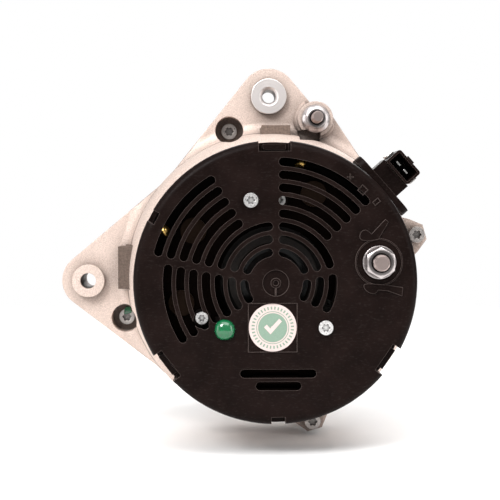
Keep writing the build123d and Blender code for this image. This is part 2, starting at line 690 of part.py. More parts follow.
GROUND_STUD_BACK = 102.0
GROUND_NUT_BACK = GROUND_BOSS_BACK + M6_NUT_H
with BuildPart() as ground_stud:
    ring(72, GROUND_BOSS_BACK, M6_R, centres=[GROUND])
    ring(GROUND_BOSS_BACK, GROUND_NUT_BACK + FREE_GAP, M6_PITCH_R, centres=[GROUND])
    ring(GROUND_NUT_BACK + FREE_GAP, GROUND_STUD_BACK, M6_R, centres=[GROUND])
    chamfer(ground_stud.edges().filter_by(GeomType.CIRCLE).sort_by(Axis.Y)[0], 0.7)
keep(ground_stud, "ground_stud")

with BuildPart() as ground_nut:
    ring(GROUND_BOSS_BACK, GROUND_BOSS_BACK + 1.6, 7.3, centres=[GROUND])
    hexagon(GROUND_BOSS_BACK, GROUND_NUT_BACK, 10, centres=[GROUND])
    ring(GROUND_BOSS_BACK, GROUND_NUT_BACK, M6_PITCH_R + FIT, centres=[GROUND], mode=Mode.SUBTRACT)
keep(ground_nut, "ground_nut")


# ======================= rectifier =======================
RECTIFIER_START = -20.0
RECTIFIER_END = 213.0
BOARD = 114.0
POSITIVE_PLATE = 121.0
PLATE_T = 3.0
DIODE_R = 6.35
NEGATIVE_DIODES = [polar(48, angle) for angle in (50, 130, 180)]
POSITIVE_DIODES = [polar(47, angle) for angle in (66, 148, 193)]
NEGATIVE_BACK = NEGATIVE_PLATE + PLATE_T
BOARD_BACK = BOARD + PLATE_T
POSITIVE_BACK = POSITIVE_PLATE + 3.5


def horseshoe(b0, b1, r_in, r_out, screw_hole):
    """Plate that runs round the shaft, with its screw holes and the clearance round the top cover post."""
    with BuildSketch(back(b0)) as plate:
        add(sector(r_in, r_out, RECTIFIER_START, RECTIFIER_END))
        with Locations(TOP_COVER_SCREW):
            Circle(5.2, mode=Mode.SUBTRACT)
        with Locations(*RECTIFIER_SCREWS):
            Circle(screw_hole, mode=Mode.SUBTRACT)
    extrude(plate.sketch, amount=b1 - b0)


with BuildPart() as rectifier_negative_plate:
    horseshoe(NEGATIVE_PLATE, NEGATIVE_BACK, 27, 61, M4_R + FIT)
    ring(NEGATIVE_PLATE, NEGATIVE_BACK, DIODE_R, centres=NEGATIVE_DIODES, mode=Mode.SUBTRACT)
    ring(NEGATIVE_PLATE, NEGATIVE_BACK, 2.3, centres=PHASE_LEADS, mode=Mode.SUBTRACT)
keep(rectifier_negative_plate, "rectifier_negative_plate")

with BuildPart() as terminal_board:
    horseshoe(BOARD, BOARD_BACK, 31, 61, M4_R + FIT)
    ring(BOARD, BOARD_BACK, LEAD_R + FIT, centres=PHASE_LEADS, mode=Mode.SUBTRACT)
keep(terminal_board, "terminal_board")

with BuildPart() as rectifier_positive_plate:
    horseshoe(POSITIVE_PLATE, POSITIVE_BACK, 31, 56.5, 3.2 + FIT)
    with BuildSketch(back(POSITIVE_BACK)) as fins:
        for angle in range(22, 208, 6):
            with Locations(Location((*polar(55.2, angle), 0), (0, 0, angle))):
                Rectangle(2.4, 1.2)
    extrude(amount=6)
    ring(POSITIVE_PLATE, POSITIVE_BACK, DIODE_R, centres=POSITIVE_DIODES, mode=Mode.SUBTRACT)
    ring(POSITIVE_PLATE, POSITIVE_BACK, M8_R, centres=[B_PLUS], mode=Mode.SUBTRACT)
keep(rectifier_positive_plate, "rectifier_positive_plate")

# Six press-in diodes, three in each plate, whose leads reach the terminal board between the plates
with BuildPart() as rectifier_diodes:
    ring(NEGATIVE_PLATE - 1.5, NEGATIVE_BACK + 1.5, DIODE_R, centres=NEGATIVE_DIODES)
    ring(NEGATIVE_BACK + 1.5, BOARD, 0.8, centres=NEGATIVE_DIODES)
    ring(POSITIVE_PLATE - 1.5, POSITIVE_BACK + 1.5, DIODE_R, centres=POSITIVE_DIODES)
    ring(BOARD_BACK, POSITIVE_PLATE - 1.5, 0.8, centres=POSITIVE_DIODES)
keep(rectifier_diodes, "rectifier_diodes")

with BuildPart() as rectifier_insulators:
    for low, high in ((NEGATIVE_BACK, BOARD), (BOARD_BACK, POSITIVE_PLATE)):
        ring(low, high, 4.6, M4_R + FIT, centres=RECTIFIER_SCREWS)
    ring(POSITIVE_PLATE, POSITIVE_BACK, 3.2, M4_R + FIT, centres=RECTIFIER_SCREWS)
    ring(POSITIVE_BACK, POSITIVE_BACK + 1.2, 4.4, M4_R + FIT, centres=RECTIFIER_SCREWS)
keep(rectifier_insulators, "rectifier_insulators")

with BuildPart() as rectifier_screws:
    seat = POSITIVE_BACK + 1.2
    ring(100, seat, M4_R, centres=RECTIFIER_SCREWS)
    ring(seat, seat + 2.6, 3.1, centres=RECTIFIER_SCREWS)
    star_recess(seat + 1, seat + 3, 1.7, RECTIFIER_SCREWS)
keep(rectifier_screws, "rectifier_screws")


# ======================= B+ terminal =======================
STUD_HEAD_H = 3.8
INSULATOR_R = 7.5
WASHER = COVER_FACE + 0.8
WASHER_BACK = WASHER + 1.6
B_PLUS_NUT_BACK = WASHER_BACK + M8_NUT_H
STUD_BACK = B_PLUS_NUT_BACK + 4.0
with BuildPart() as b_plus_stud:
    ring(POSITIVE_PLATE, WASHER_BACK, M8_R, centres=[B_PLUS])
    ring(WASHER_BACK, B_PLUS_NUT_BACK + FREE_GAP, M8_PITCH_R, centres=[B_PLUS])
    ring(B_PLUS_NUT_BACK + FREE_GAP, STUD_BACK, M8_R, centres=[B_PLUS])
    hexagon(POSITIVE_PLATE - STUD_HEAD_H, POSITIVE_PLATE, 11, centres=[B_PLUS])
    chamfer(b_plus_stud.edges().filter_by(GeomType.CIRCLE).sort_by(Axis.Y)[0], 0.8)
keep(b_plus_stud, "b_plus_stud")

with BuildPart() as b_plus_insulator:
    ring(POSITIVE_BACK, WASHER, INSULATOR_R, M8_R + FIT, centres=[B_PLUS])
keep(b_plus_insulator, "b_plus_insulator")

with BuildPart() as b_plus_washer:
    ring(WASHER, WASHER_BACK, 8, M8_R + FIT, centres=[B_PLUS])
keep(b_plus_washer, "b_plus_washer")

with BuildPart() as b_plus_nut:
    hexagon(WASHER_BACK, B_PLUS_NUT_BACK, 13, centres=[B_PLUS], turn=30)
    ring(WASHER_BACK, B_PLUS_NUT_BACK, M8_PITCH_R + FIT, centres=[B_PLUS], mode=Mode.SUBTRACT)
keep(b_plus_nut, "b_plus_nut")


# ======================= regulator and brushes =======================
BRUSH_STATIONS = [start + SLIP_RING_W / 2 for start in SLIP_RINGS]
BRUSH_X = 6.8
BRUSH_W = 5.6
BRUSH_FOOT = -22.0
CHANNEL_FLOOR = -33.0
RUNNING = 0.08
REGULATOR_SCREWS = [(-16.0, -53.0), (16.0, -53.0)]
REGULATOR_SCREW_R = 1.5
REGULATOR_HALF = 20.0
REGULATOR_LOW = -57.0
HOLDER_BACK = 131.0
SINK_BACK = 132.5

with BuildPart() as brush_holder:
    slab(115.5, 134, -6.6, 6.6, -35.5, -9.6)
    slab(POST_BACK, HOLDER_BACK, -29, 29, -28.5, -17)
    slab(POST_BACK, HOLDER_BACK, -REGULATOR_HALF, REGULATOR_HALF, REGULATOR_LOW, -17)
    for station in BRUSH_STATIONS:
        half = BRUSH_W / 2 + RUNNING
        side = BRUSH_X / 2 + RUNNING
        slab(station - half, station + half, -side, side, CHANNEL_FLOOR, -5, mode=Mode.SUBTRACT)
    ring(POST_BACK, HOLDER_BACK, M4_R + FIT, centres=LOW_COVER_SCREWS, mode=Mode.SUBTRACT)
    ring(POST_BACK, HOLDER_BACK, REGULATOR_SCREW_R + FIT, centres=REGULATOR_SCREWS, mode=Mode.SUBTRACT)
keep(brush_holder, "brush_holder")

for letter, station in zip("ab", BRUSH_STATIONS):
    with BuildPart() as brush:
        slab(station - BRUSH_W / 2, station + BRUSH_W / 2, -BRUSH_X / 2, BRUSH_X / 2, BRUSH_FOOT, -6.5)
        ring(station - BRUSH_W, station + BRUSH_W, SLIP_RING_R + FIT, mode=Mode.SUBTRACT)
    keep(brush, f"brush_{letter}")
    with BuildPart() as brush_spring:
        with BuildLine() as coil:
            Helix(pitch=1.7, height=BRUSH_FOOT - CHANNEL_FLOOR - 0.8, radius=2.1)
        with BuildSketch(coil.line ^ 0) as wire:
            Circle(0.3)
        sweep(is_frenet=True)
    spring = Pos(0, -station, CHANNEL_FLOOR + 0.4) * brush_spring.part
    spring.label = f"brush_spring_{letter}"
    export_step(spring, f"parts/brush_spring_{letter}.step")

with BuildPart() as voltage_regulator:
    slab(113, POST_BACK, -REGULATOR_HALF, REGULATOR_HALF, REGULATOR_LOW, -37)
    ring(118, POST_BACK, REGULATOR_SCREW_R + FIT, centres=REGULATOR_SCREWS, mode=Mode.SUBTRACT)
keep(voltage_regulator, "voltage_regulator")

with BuildPart() as regulator_heat_sink:
    slab(HOLDER_BACK, SINK_BACK, -REGULATOR_HALF, REGULATOR_HALF, REGULATOR_LOW + 1, -38)
    with BuildSketch(back(SINK_BACK)) as sink_fins:
        with Locations((0, -47)):
            with GridLocations(0, 3, 1, 6):
                Rectangle(22, 1)
    extrude(amount=4)
    ring(HOLDER_BACK, SINK_BACK, REGULATOR_SCREW_R + FIT, centres=REGULATOR_SCREWS, mode=Mode.SUBTRACT)
keep(regulator_heat_sink, "regulator_heat_sink")

with BuildPart() as regulator_screws:
    ring(119, SINK_BACK, REGULATOR_SCREW_R, centres=REGULATOR_SCREWS)
    ring(SINK_BACK, SINK_BACK + 2, 2.7, centres=REGULATOR_SCREWS)
    star_recess(SINK_BACK + 0.8, SINK_BACK + 2, 1.4, REGULATOR_SCREWS)
keep(regulator_screws, "regulator_screws")


# ======================= rear cover =======================
COVER_RIM = 104.0
INSIDE_FACE = COVER_FACE - COVER_WALL
VENT_W = 4.2
VENT_FIRST_R = 15.0
VENT_STEP = 6.17
SPOKE_GAP = 3.45
UP_SPOKE = 90.0
RIGHT_SPOKE = 12.0
LEFT_SPOKE = 168.5
MARK = 0.9
DIAL_R = 6.3
DIAL_DEPTH = 0.8


def beside(spoke, radius, side):
    """Angle where a vent's end sits next to a spoke, on its anticlockwise (+1) or clockwise (-1) side."""
    return spoke + side * degrees(asin(SPOKE_GAP / radius))


def vents():
    """(radius, start, end) of every curved vent in the cover."""
    radii = [VENT_FIRST_R + VENT_STEP * k for k in range(8)]
    for k, r in enumerate(radii):
        inner = k < 3
        yield r, beside(RIGHT_SPOKE, r, 1) if inner else 42.5, beside(UP_SPOKE, r, -1)
        yield r, beside(UP_SPOKE, r, 1) if inner else 122.2, beside(LEFT_SPOKE, r, -1)
        if k < 7:
            yield r, beside(LEFT_SPOKE, r, 1), 210.8
        if inner:
            yield r, -26.4, beside(RIGHT_SPOKE, r, -1)


with BuildPart() as rear_cover:
    ring(COVER_RIM, COVER_FACE, COVER_R)
    fillet(rear_cover.edges().sort_by(Axis.Y)[0], 4)
    ring(COVER_RIM, INSIDE_FACE, COVER_R - COVER_WALL, mode=Mode.SUBTRACT)
    # Bosses round the cover screws
    ring(POST_BACK, INSIDE_FACE, POST_R, centres=[TOP_COVER_SCREW])
    ring(HOLDER_BACK, INSIDE_FACE, POST_R, centres=LOW_COVER_SCREWS)
    # Three latches: a pocket let into the rim with a springy tongue in it
    for angle in LATCH_ANGLES:
        radial_block(angle, 61.8, COVER_R - 1.2, 18.4, 118, INSIDE_FACE + 0.2)
        radial_block(angle, 63.2, 72, 15.4, 119.5, 142, mode=Mode.SUBTRACT)
        radial_block(angle, 64.2, 66.9, 11, 118.5, 134)
    # Small windows in the rim, and the way through for the connector's foot
    radial_block(151.6, 64.7, 72, 6, 130, 142, mode=Mode.SUBTRACT)
    radial_block(271.2, 64.7, 72, 6.8, 130, 142, mode=Mode.SUBTRACT)
    radial_block(CONNECTOR_ANGLE, 62, 72, 13.4, 111.6, 120.4, mode=Mode.SUBTRACT)
    # Vents
    with BuildSketch(back(INSIDE_FACE - 1)) as openings:
        for radius, start, end in vents():
            SlotArc(Edge.make_circle(radius, start_angle=start, end_angle=end), VENT_W)
        with Locations((1.2, -43.6)):
            SlotOverall(36.8, VENT_W)
        with Locations((1.4, -49.6)):
            SlotOverall(22, VENT_W)
        with Locations((-35.7, -17.8)):
            Circle(4)
        with Locations(B_PLUS):
            Circle(INSULATOR_R + FIT)
    extrude(amount=5, mode=Mode.SUBTRACT)
    ring(POST_BACK, 142, M4_R + FIT, centres=[TOP_COVER_SCREW, *LOW_COVER_SCREWS], mode=Mode.SUBTRACT)
    # Shallow dial over the hub, with a ring and a hand in it
    ring(COVER_FACE - DIAL_DEPTH, COVER_FACE + 1, DIAL_R, mode=Mode.SUBTRACT)
    ring(COVER_FACE - DIAL_DEPTH - 0.1, COVER_FACE, 2.4, 1.3)
    slab(COVER_FACE - DIAL_DEPTH - 0.1, COVER_FACE - 0.3, -0.35, 0.35, -DIAL_R - 0.1, -2.3)
    # Raised marks: a ring round the stud, a tick and a bar beside it
    ring(COVER_FACE - 0.1, COVER_FACE + 0.6, 11.4, 10.8, centres=[B_PLUS])
    with BuildSketch(back(COVER_FACE)) as tick:
        with BuildLine():
            Spline((45.8, 23.5), (40.6, 24.0), (40.3, 21.6), (44.4, 20.4), (49.2, 21.2))
            Polyline((49.2, 21.2), (53.9, 29.2), (52.5, 30.6), (45.8, 23.5))
        make_face()
    extrude(amount=MARK)
    with BuildSketch(back(COVER_FACE)) as bar:
        with BuildLine():
            Spline((45, -0.3), (42.2, -1.6), (43.4, -3.6), (49, -3.3))
            Polyline((49, -3.3), (53.7, -3.7), (60.6, -6.2), (60.9, -2.1), (53.1, -0.9), (45, -0.3))
        make_face()
    extrude(amount=MARK)
keep(rear_cover, "rear_cover")

with BuildPart() as cover_screws:
    spots = [TOP_COVER_SCREW, *LOW_COVER_SCREWS]
    ring(115, COVER_FACE, M4_R, centres=spots)
    ring(COVER_FACE, COVER_FACE + 1.9, 3.5, centres=spots)
    star_recess(COVER_FACE + 0.7, COVER_FACE + 3, 2.0, spots)
keep(cover_screws, "cover_screws")

with BuildPart() as inspection_label:
    ring(COVER_FACE, COVER_FACE + 0.15, 11.5, centres=[(-1.5, -21.4)])
keep(inspection_label, "inspection_label")


# ======================= connector =======================
PLUG_R = 84.5
SHROUD_W = 15.7
SHROUD_T = 9.2
SHROUD_WALL = 1.2
SHROUD_BACK = 126.0
SHROUD_FLOOR = 109.0
PLUG_PITCH = 5.3
PLUG_BLADE_T = 0.8
PLUG_BLADE_W = 2.7
with BuildPart() as connector_housing:
    radial_block(CONNECTOR_ANGLE, 61.2, 69, 13, 112, 120)
    radial_block(CONNECTOR_ANGLE, 69, 72.6, 36, 107, 125, corner=5)
    radial_block(CONNECTOR_ANGLE, 72, PLUG_R - 4, 17.6, 107, 122)
    plug_place = Location((*polar(PLUG_R, CONNECTOR_ANGLE), 0), (0, 0, CONNECTOR_ANGLE))
    with BuildSketch(back(106)) as shroud:
        with Locations(plug_place):
            RectangleRounded(SHROUD_T, SHROUD_W, 1.4)
    extrude(amount=SHROUD_BACK - 106)
    high = PLUG_R + SHROUD_T / 2
    radial_block(CONNECTOR_ANGLE, high - 0.2, high + 1.5, 4.4, 114, 121)
    with BuildSketch(back(SHROUD_FLOOR)) as socket:
        with Locations(plug_place):
            RectangleRounded(SHROUD_T - 2 * SHROUD_WALL, SHROUD_W - 2 * SHROUD_WALL, 0.6)
    extrude(amount=20, mode=Mode.SUBTRACT)
    for side in (-1, 1):
        shift = side * PLUG_PITCH / 2
        slot = (PLUG_R - PLUG_BLADE_T / 2 - FIT, PLUG_R + PLUG_BLADE_T / 2 + FIT)
        radial_block(CONNECTOR_ANGLE, *slot, PLUG_BLADE_W + 2 * FIT, 105, 110, shift=shift, mode=Mode.SUBTRACT)
keep(connector_housing, "connector_housing")

with BuildPart() as connector_pins:
    for side in (-1, 1):
        shift = side * PLUG_PITCH / 2
        blade = (PLUG_R - PLUG_BLADE_T / 2, PLUG_R + PLUG_BLADE_T / 2)
        radial_block(CONNECTOR_ANGLE, *blade, PLUG_BLADE_W, 106, 121, shift=shift)
keep(connector_pins, "connector_pins")

with BuildPart() as connector_clip:
    half = SHROUD_W / 2
    radial_block(CONNECTOR_ANGLE, PLUG_R - 1.8, PLUG_R + 2.2, SHROUD_W + 2.6, 104.6, 105.9)
    for side in (-1, 1):
        radial_block(CONNECTOR_ANGLE, PLUG_R - 1.8, PLUG_R + 2.2, 1.1, 104.6, 119, shift=side * (half + 0.75))
keep(connector_clip, "connector_clip")
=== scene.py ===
import json
import math
import random

import bpy
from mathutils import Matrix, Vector


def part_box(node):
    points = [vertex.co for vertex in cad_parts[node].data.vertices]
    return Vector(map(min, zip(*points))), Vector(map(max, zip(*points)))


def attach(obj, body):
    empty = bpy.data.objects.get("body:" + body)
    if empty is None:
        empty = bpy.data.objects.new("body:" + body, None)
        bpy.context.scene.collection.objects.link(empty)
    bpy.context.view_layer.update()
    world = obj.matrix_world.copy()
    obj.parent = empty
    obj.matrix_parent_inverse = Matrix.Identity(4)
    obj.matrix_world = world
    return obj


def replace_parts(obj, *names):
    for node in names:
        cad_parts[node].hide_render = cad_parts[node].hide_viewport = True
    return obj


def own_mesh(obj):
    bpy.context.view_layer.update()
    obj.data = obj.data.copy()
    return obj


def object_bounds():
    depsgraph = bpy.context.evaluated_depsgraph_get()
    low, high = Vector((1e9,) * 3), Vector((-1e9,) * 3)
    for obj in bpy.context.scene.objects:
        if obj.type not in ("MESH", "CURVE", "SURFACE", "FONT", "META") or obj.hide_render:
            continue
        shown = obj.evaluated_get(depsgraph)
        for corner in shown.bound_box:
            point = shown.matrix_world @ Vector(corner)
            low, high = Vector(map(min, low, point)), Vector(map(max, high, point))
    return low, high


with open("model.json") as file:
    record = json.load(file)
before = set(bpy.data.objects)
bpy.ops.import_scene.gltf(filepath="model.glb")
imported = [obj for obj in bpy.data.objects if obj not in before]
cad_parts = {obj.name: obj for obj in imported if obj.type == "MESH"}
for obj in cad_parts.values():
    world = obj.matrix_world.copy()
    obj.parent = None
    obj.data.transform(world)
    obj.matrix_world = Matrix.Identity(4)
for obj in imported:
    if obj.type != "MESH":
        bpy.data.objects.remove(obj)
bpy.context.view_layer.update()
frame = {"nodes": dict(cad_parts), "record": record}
nodes = frame["nodes"]
draw = random.Random(7)

# Lengths below are in millimetres. The shaft runs along Y, and b is the distance behind the belt plane,
# towards -Y.
MM = 0.001
HOUSING = "housing"


def place(x, b, z):
    """A point of the row frame, in metres, from X, station and Z in millimetres."""
    return Vector((x * MM, -b * MM, z * MM))


def polar(radius, angle):
    """(X, Z) of a point at an angle in degrees round the shaft, seen from the rear."""
    return radius * math.cos(math.radians(angle)), radius * math.sin(math.radians(angle))


def node_axis(name):
    """(X, Z) of the middle of a CAD node, and its first and last station, all in millimetres."""
    low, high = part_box(name)
    middle = (low + high) / 2
    return (middle.x / MM, middle.z / MM), -high.y / MM, -low.y / MM


# ---------------------------------------------------------------- materials

ZINC_COLOUR = (0.67, 0.61, 0.60)
SAND_DARK = (0.50, 0.395, 0.345)
SAND_PALE = (0.72, 0.590, 0.52)
SAND_STAIN = (0.62, 0.50, 0.44)
# Colours of the raised blocks: dark rough skin with painted shade mixed in
CRUST_SHADE_DARK = (0.045, 0.031, 0.024)
CRUST_SHADE_PALE = (0.27, 0.19, 0.15)
PAPER_DARK = (0.54, 0.435, 0.412)
PAPER_PALE = (0.66, 0.538, 0.510)

# The space under the cover, where colours are darkened as painted shade, lies within this radius, and behind
# this station
COVER_SHADE_R = 66.2
COVER_SHADE_B = 97.0

# Opposite corners of the two raised blocks on the casting that keep their rough skin, whose dark colour is
# partly painted shade
ROUGH_BLOCK = (place(-79.9, 97, -6), place(-71.3, 77, 17))
UPPER_SHADED_BLOCK = (place(-6, 93, 70), place(10, 77, 79.6))


class Nodes:
    """Builds one material's node tree. Sizes that it takes are in millimetres."""

    def __init__(self, name):
        self.material = bpy.data.materials.new(name)
        self.material.use_nodes = True
        self.tree = self.material.node_tree
        self.shader = self.tree.nodes["Principled BSDF"]
        self.where = self.add("ShaderNodeTexCoord").outputs["Object"]

    def add(self, kind, **settings):
        node = self.tree.nodes.new(kind)
        for key, value in settings.items():
            setattr(node, key, value)
        return node

    def link(self, out, into):
        self.tree.links.new(out, into)

    def put(self, node, socket, value):
        """Links an output to a node's input, or sets the input to a number."""
        if hasattr(value, "is_output"):
            self.link(value, node.inputs[socket])
        else:
            node.inputs[socket].default_value = value

    def noise(self, size, detail=3.0, stretch=(1, 1, 1)):
        """Noise whose features are about size millimetres across."""
        mapping = self.add("ShaderNodeMapping")
        mapping.inputs["Scale"].default_value = stretch
        self.link(self.where, mapping.inputs["Vector"])
        noise = self.add("ShaderNodeTexNoise")
        noise.inputs["Scale"].default_value = 1 / (size * MM)
        noise.inputs["Detail"].default_value = detail
        self.link(mapping.outputs["Vector"], noise.inputs["Vector"])
        return noise.outputs["Fac"]

    def calculate(self, operation, a, b):
        """The result of a Math node's operation on two numbers or outputs."""
        node = self.add("ShaderNodeMath", operation=operation)
        self.put(node, 0, a)
        self.put(node, 1, b)
        return node.outputs[0]

    def range(self, value, low, high, new_low, new_high):
        """Value mapped from low..high to new_low..new_high, and clamped to those."""
        node = self.add("ShaderNodeMapRange")
        for socket, number in enumerate((low, high, new_low, new_high), 1):
            node.inputs[socket].default_value = number
        self.link(value, node.inputs[0])
        return node.outputs[0]

    def blend(self, share, a, b):
        """Colour a where share is 0, b where it is 1."""
        node = self.add("ShaderNodeMix", data_type="RGBA")
        self.put(node, "Factor", share)
        for socket, value in ((6, a), (7, b)):
            if hasattr(value, "is_output"):
                self.link(value, node.inputs[socket])
            else:
                node.inputs[socket].default_value = (*value, 1)
        return node.outputs[2]

    def bump(self, height, depth, normal=None):
        """Normal of a surface whose height varies by depth millimetres, on top of another normal if given."""
        node = self.add("ShaderNodeBump")
        node.inputs["Distance"].default_value = depth * MM
        self.link(height, node.inputs["Height"])
        if normal is not None:
            self.link(normal, node.inputs["Normal"])
        return node.outputs["Normal"]

    def box_mask(self, low, high):
        """1 inside a box given by two corners in metres, 0 outside."""
        split = self.add("ShaderNodeSeparateXYZ")
        self.link(self.where, split.inputs[0])
        mask = 1.0
        for axis in range(3):
            near = self.add("ShaderNodeMath", operation="COMPARE")
            self.link(split.outputs[axis], near.inputs[0])
            near.inputs[1].default_value = (low[axis] + high[axis]) / 2
            near.inputs[2].default_value = (high[axis] - low[axis]) / 2
            mask = self.calculate("MULTIPLY", mask, near.outputs[0])
        return mask

    def crevice(self, distance):
        """1 in the open, falling towards 0 in corners and recesses."""
        node = self.add("ShaderNodeAmbientOcclusion", samples=6)
        node.inputs["Distance"].default_value = distance * MM
        return node.outputs["AO"]

    def edge_share(self, radius):
        """1 on the flats, falling towards 0 where an edge turns within a radius in millimetres."""
        soft = self.add("ShaderNodeBevel", samples=8)
        soft.inputs["Radius"].default_value = radius * MM
        true = self.add("ShaderNodeNewGeometry")
        dot = self.add("ShaderNodeVectorMath", operation="DOT_PRODUCT")
        self.link(soft.outputs[0], dot.inputs[0])
        self.link(true.outputs["True Normal"], dot.inputs[1])
        return dot.outputs["Value"]

    def under_cover(self):
        """1 in the space under the rear cover, where colours are darkened as painted shade, and 0 outside."""
        split = self.add("ShaderNodeSeparateXYZ")
        self.link(self.where, split.inputs[0])
        x, y, z = split.outputs
        x_squared = self.calculate("MULTIPLY", x, x)
        z_squared = self.calculate("MULTIPLY", z, z)
        radius = self.calculate("POWER", self.calculate("ADD", x_squared, z_squared), 0.5)
        inside = self.calculate("LESS_THAN", radius, COVER_SHADE_R * MM)
        behind = self.calculate("LESS_THAN", y, -COVER_SHADE_B * MM)
        return self.calculate("MULTIPLY", inside, behind)

    def tint(self, colour, *shades):
        """Colour multiplied by grey shades."""
        for shade in shades:
            mix = self.add("ShaderNodeMix", data_type="RGBA", blend_type="MULTIPLY")
            mix.inputs["Factor"].default_value = 1
            self.link(colour, mix.inputs[6])
            self.link(shade, mix.inputs[7])
            colour = mix.outputs[2]
        return colour


def finish_metal(name, colour, rough, grain, grain_depth, metal=1.0, corner_shade=0.35, edge=0.12, spread=0.12,
                 under_cover_shade=0.45, reach=5.0):
    """Metal with a fine grain, a slow change of colour and roughness, soft edges, painted shade darkening its
    corners, and painted shade under the cover.
    """
    n = Nodes(name)
    slow = n.noise(9)
    fine = n.noise(grain, 4)
    dark = tuple(c * (1 - spread) for c in colour)
    tone = n.blend(slow, dark, colour)
    # Painted shade: the colour darkens in corners and recesses, and in the space under the rear cover.
    shade = n.range(n.crevice(reach), 0.35, 0.95, 1 - corner_shade, 1.0)
    cover_shade_tint = n.range(n.under_cover(), 0, 1, 1.0, under_cover_shade)
    n.link(n.tint(tone, shade, cover_shade_tint), n.shader.inputs["Base Color"])
    n.shader.inputs["Metallic"].default_value = metal
    n.link(n.range(fine, 0.3, 0.7, rough - 0.06, rough + 0.08), n.shader.inputs["Roughness"])
    soft = n.add("ShaderNodeBevel", samples=4)
    soft.inputs["Radius"].default_value = edge * MM
    n.link(n.bump(fine, grain_depth, normal=soft.outputs[0]), n.shader.inputs["Normal"])
    return n


def cast_aluminium(name):
    """Shot-blasted casting with a sandy skin, painted shade in its hollows and under the cover, and dark rough
    skin mixed with painted shade on the two raised blocks.
    """
    n = Nodes(name)
    sand = n.noise(0.55, 5)
    wave = n.noise(6, 2)
    pale = n.blend(n.range(sand, 0.36, 0.64, 0, 1), SAND_DARK, SAND_PALE)
    toned = n.blend(n.range(wave, 0.35, 0.7, 0, 0.35), pale, SAND_STAIN)
    # Painted shade: darker in hollows, and nearly black under the rear cover.
    shade = n.range(n.crevice(9), 0.25, 0.95, 0.22, 1.0)
    cover_shade_tint = n.range(n.under_cover(), 0, 1, 1.0, 0.05)
    shaded_skin = n.tint(toned, shade, cover_shade_tint)
    # The blocks' colour is dark rough skin mixed with painted shade, and the left block is darkened further as
    # painted shade.
    rough_block = n.box_mask(*ROUGH_BLOCK)
    blocks = n.calculate("MAXIMUM", rough_block, n.box_mask(*UPPER_SHADED_BLOCK))
    crust_and_shade = n.blend(n.noise(0.9, 6), CRUST_SHADE_DARK, CRUST_SHADE_PALE)
    crust_and_shade = n.tint(crust_and_shade, n.range(rough_block, 0, 1, 1.0, 0.72))
    n.link(n.blend(blocks, shaded_skin, crust_and_shade), n.shader.inputs["Base Color"])
    n.put(n.shader, "Metallic", n.range(blocks, 0, 1, 0.42, 0.05))
    n.put(n.shader, "Roughness", n.range(blocks, 0, 1, 0.56, 0.85))
    soft = n.add("ShaderNodeBevel", samples=4)
    soft.inputs["Radius"].default_value = 0.7 * MM
    fine = n.bump(sand, 0.085, normal=soft.outputs[0])
    n.link(n.bump(wave, 0.22, normal=fine), n.shader.inputs["Normal"])
    return n.material


def moulded_plastic(name, colour, rough, edge=0.25, rim=(0.115, 0.088, 0.080), gloss=0.045):
    """Moulded plastic with a fine matt texture, faint flow marks, and a painted highlight: a paler line along
    its edges.
    """
    n = Nodes(name)
    skin = n.noise(0.35, 3)
    slow = n.noise(14, 3)
    light = tuple(c * 1.9 for c in colour)
    body = n.blend(n.range(slow, 0.35, 0.75, 0, 0.9), colour, light)
    scuff = n.range(n.noise(1.6, 7, (1, 1, 3)), 0.56, 0.74, 0, 0.55)
    body = n.blend(scuff, body, tuple(c * 0.22 for c in rim))
    # Painted highlight: the paler rim colour is laid along the edges, where light would catch them.
    line = n.range(n.edge_share(0.40), 0.78, 0.985, 0.95, 0.0)
    n.link(n.blend(line, body, rim), n.shader.inputs["Base Color"])
    n.link(n.range(slow, 0.3, 0.7, rough - 0.05, rough + 0.08), n.shader.inputs["Roughness"])
    n.shader.inputs["Specular IOR Level"].default_value = gloss
    soft = n.add("ShaderNodeBevel", samples=6)
    soft.inputs["Radius"].default_value = edge * MM
    n.link(n.bump(skin, 0.018, normal=soft.outputs[0]), n.shader.inputs["Normal"])
    return n.material


def striped(name, colour, gap_colour, pitch, rough, metal, depth):
    """Sheets or turns stacked along the shaft, pitch millimetres apart."""
    n = Nodes(name)
    wave = n.add("ShaderNodeTexWave", bands_direction="Y", wave_profile="SIN")
    wave.inputs["Scale"].default_value = math.tau / (20 * pitch * MM)
    n.link(n.where, wave.inputs["Vector"])
    line = n.range(wave.outputs["Fac"], 0.0, 0.35, 0, 1)
    patch = n.noise(4, 4)
    tone = n.blend(n.range(patch, 0.3, 0.7, 0, 1), tuple(c * 0.7 for c in colour), colour)
    n.link(n.blend(line, gap_colour, tone), n.shader.inputs["Base Color"])
    n.shader.inputs["Metallic"].default_value = metal
    n.link(n.range(patch, 0.3, 0.7, rough - 0.1, rough + 0.1), n.shader.inputs["Roughness"])
    n.link(n.bump(line, depth), n.shader.inputs["Normal"])
    return n.material


def turned_metal(name, colour, rough, centre):
    """Machined face with fine rings round an axis parallel to the shaft."""
    n = finish_metal(name, colour, rough, 0.5, 0.006, corner_shade=0.85, reach=6.5)
    mapping = n.add("ShaderNodeMapping")
    mapping.inputs["Location"].default_value = -place(centre[0], 0, centre[1])
    n.link(n.where, mapping.inputs["Vector"])
    rings = n.add("ShaderNodeTexWave", wave_type="RINGS", rings_direction="Y")
    rings.inputs["Scale"].default_value = 1 / (5 * MM)
    rings.inputs["Distortion"].default_value = 0.6
    n.link(mapping.outputs["Vector"], rings.inputs["Vector"])
    base = n.shader.inputs["Normal"].links[0].from_socket
    n.link(n.bump(rings.outputs["Fac"], 0.012, normal=base), n.shader.inputs["Normal"])
    return n.material


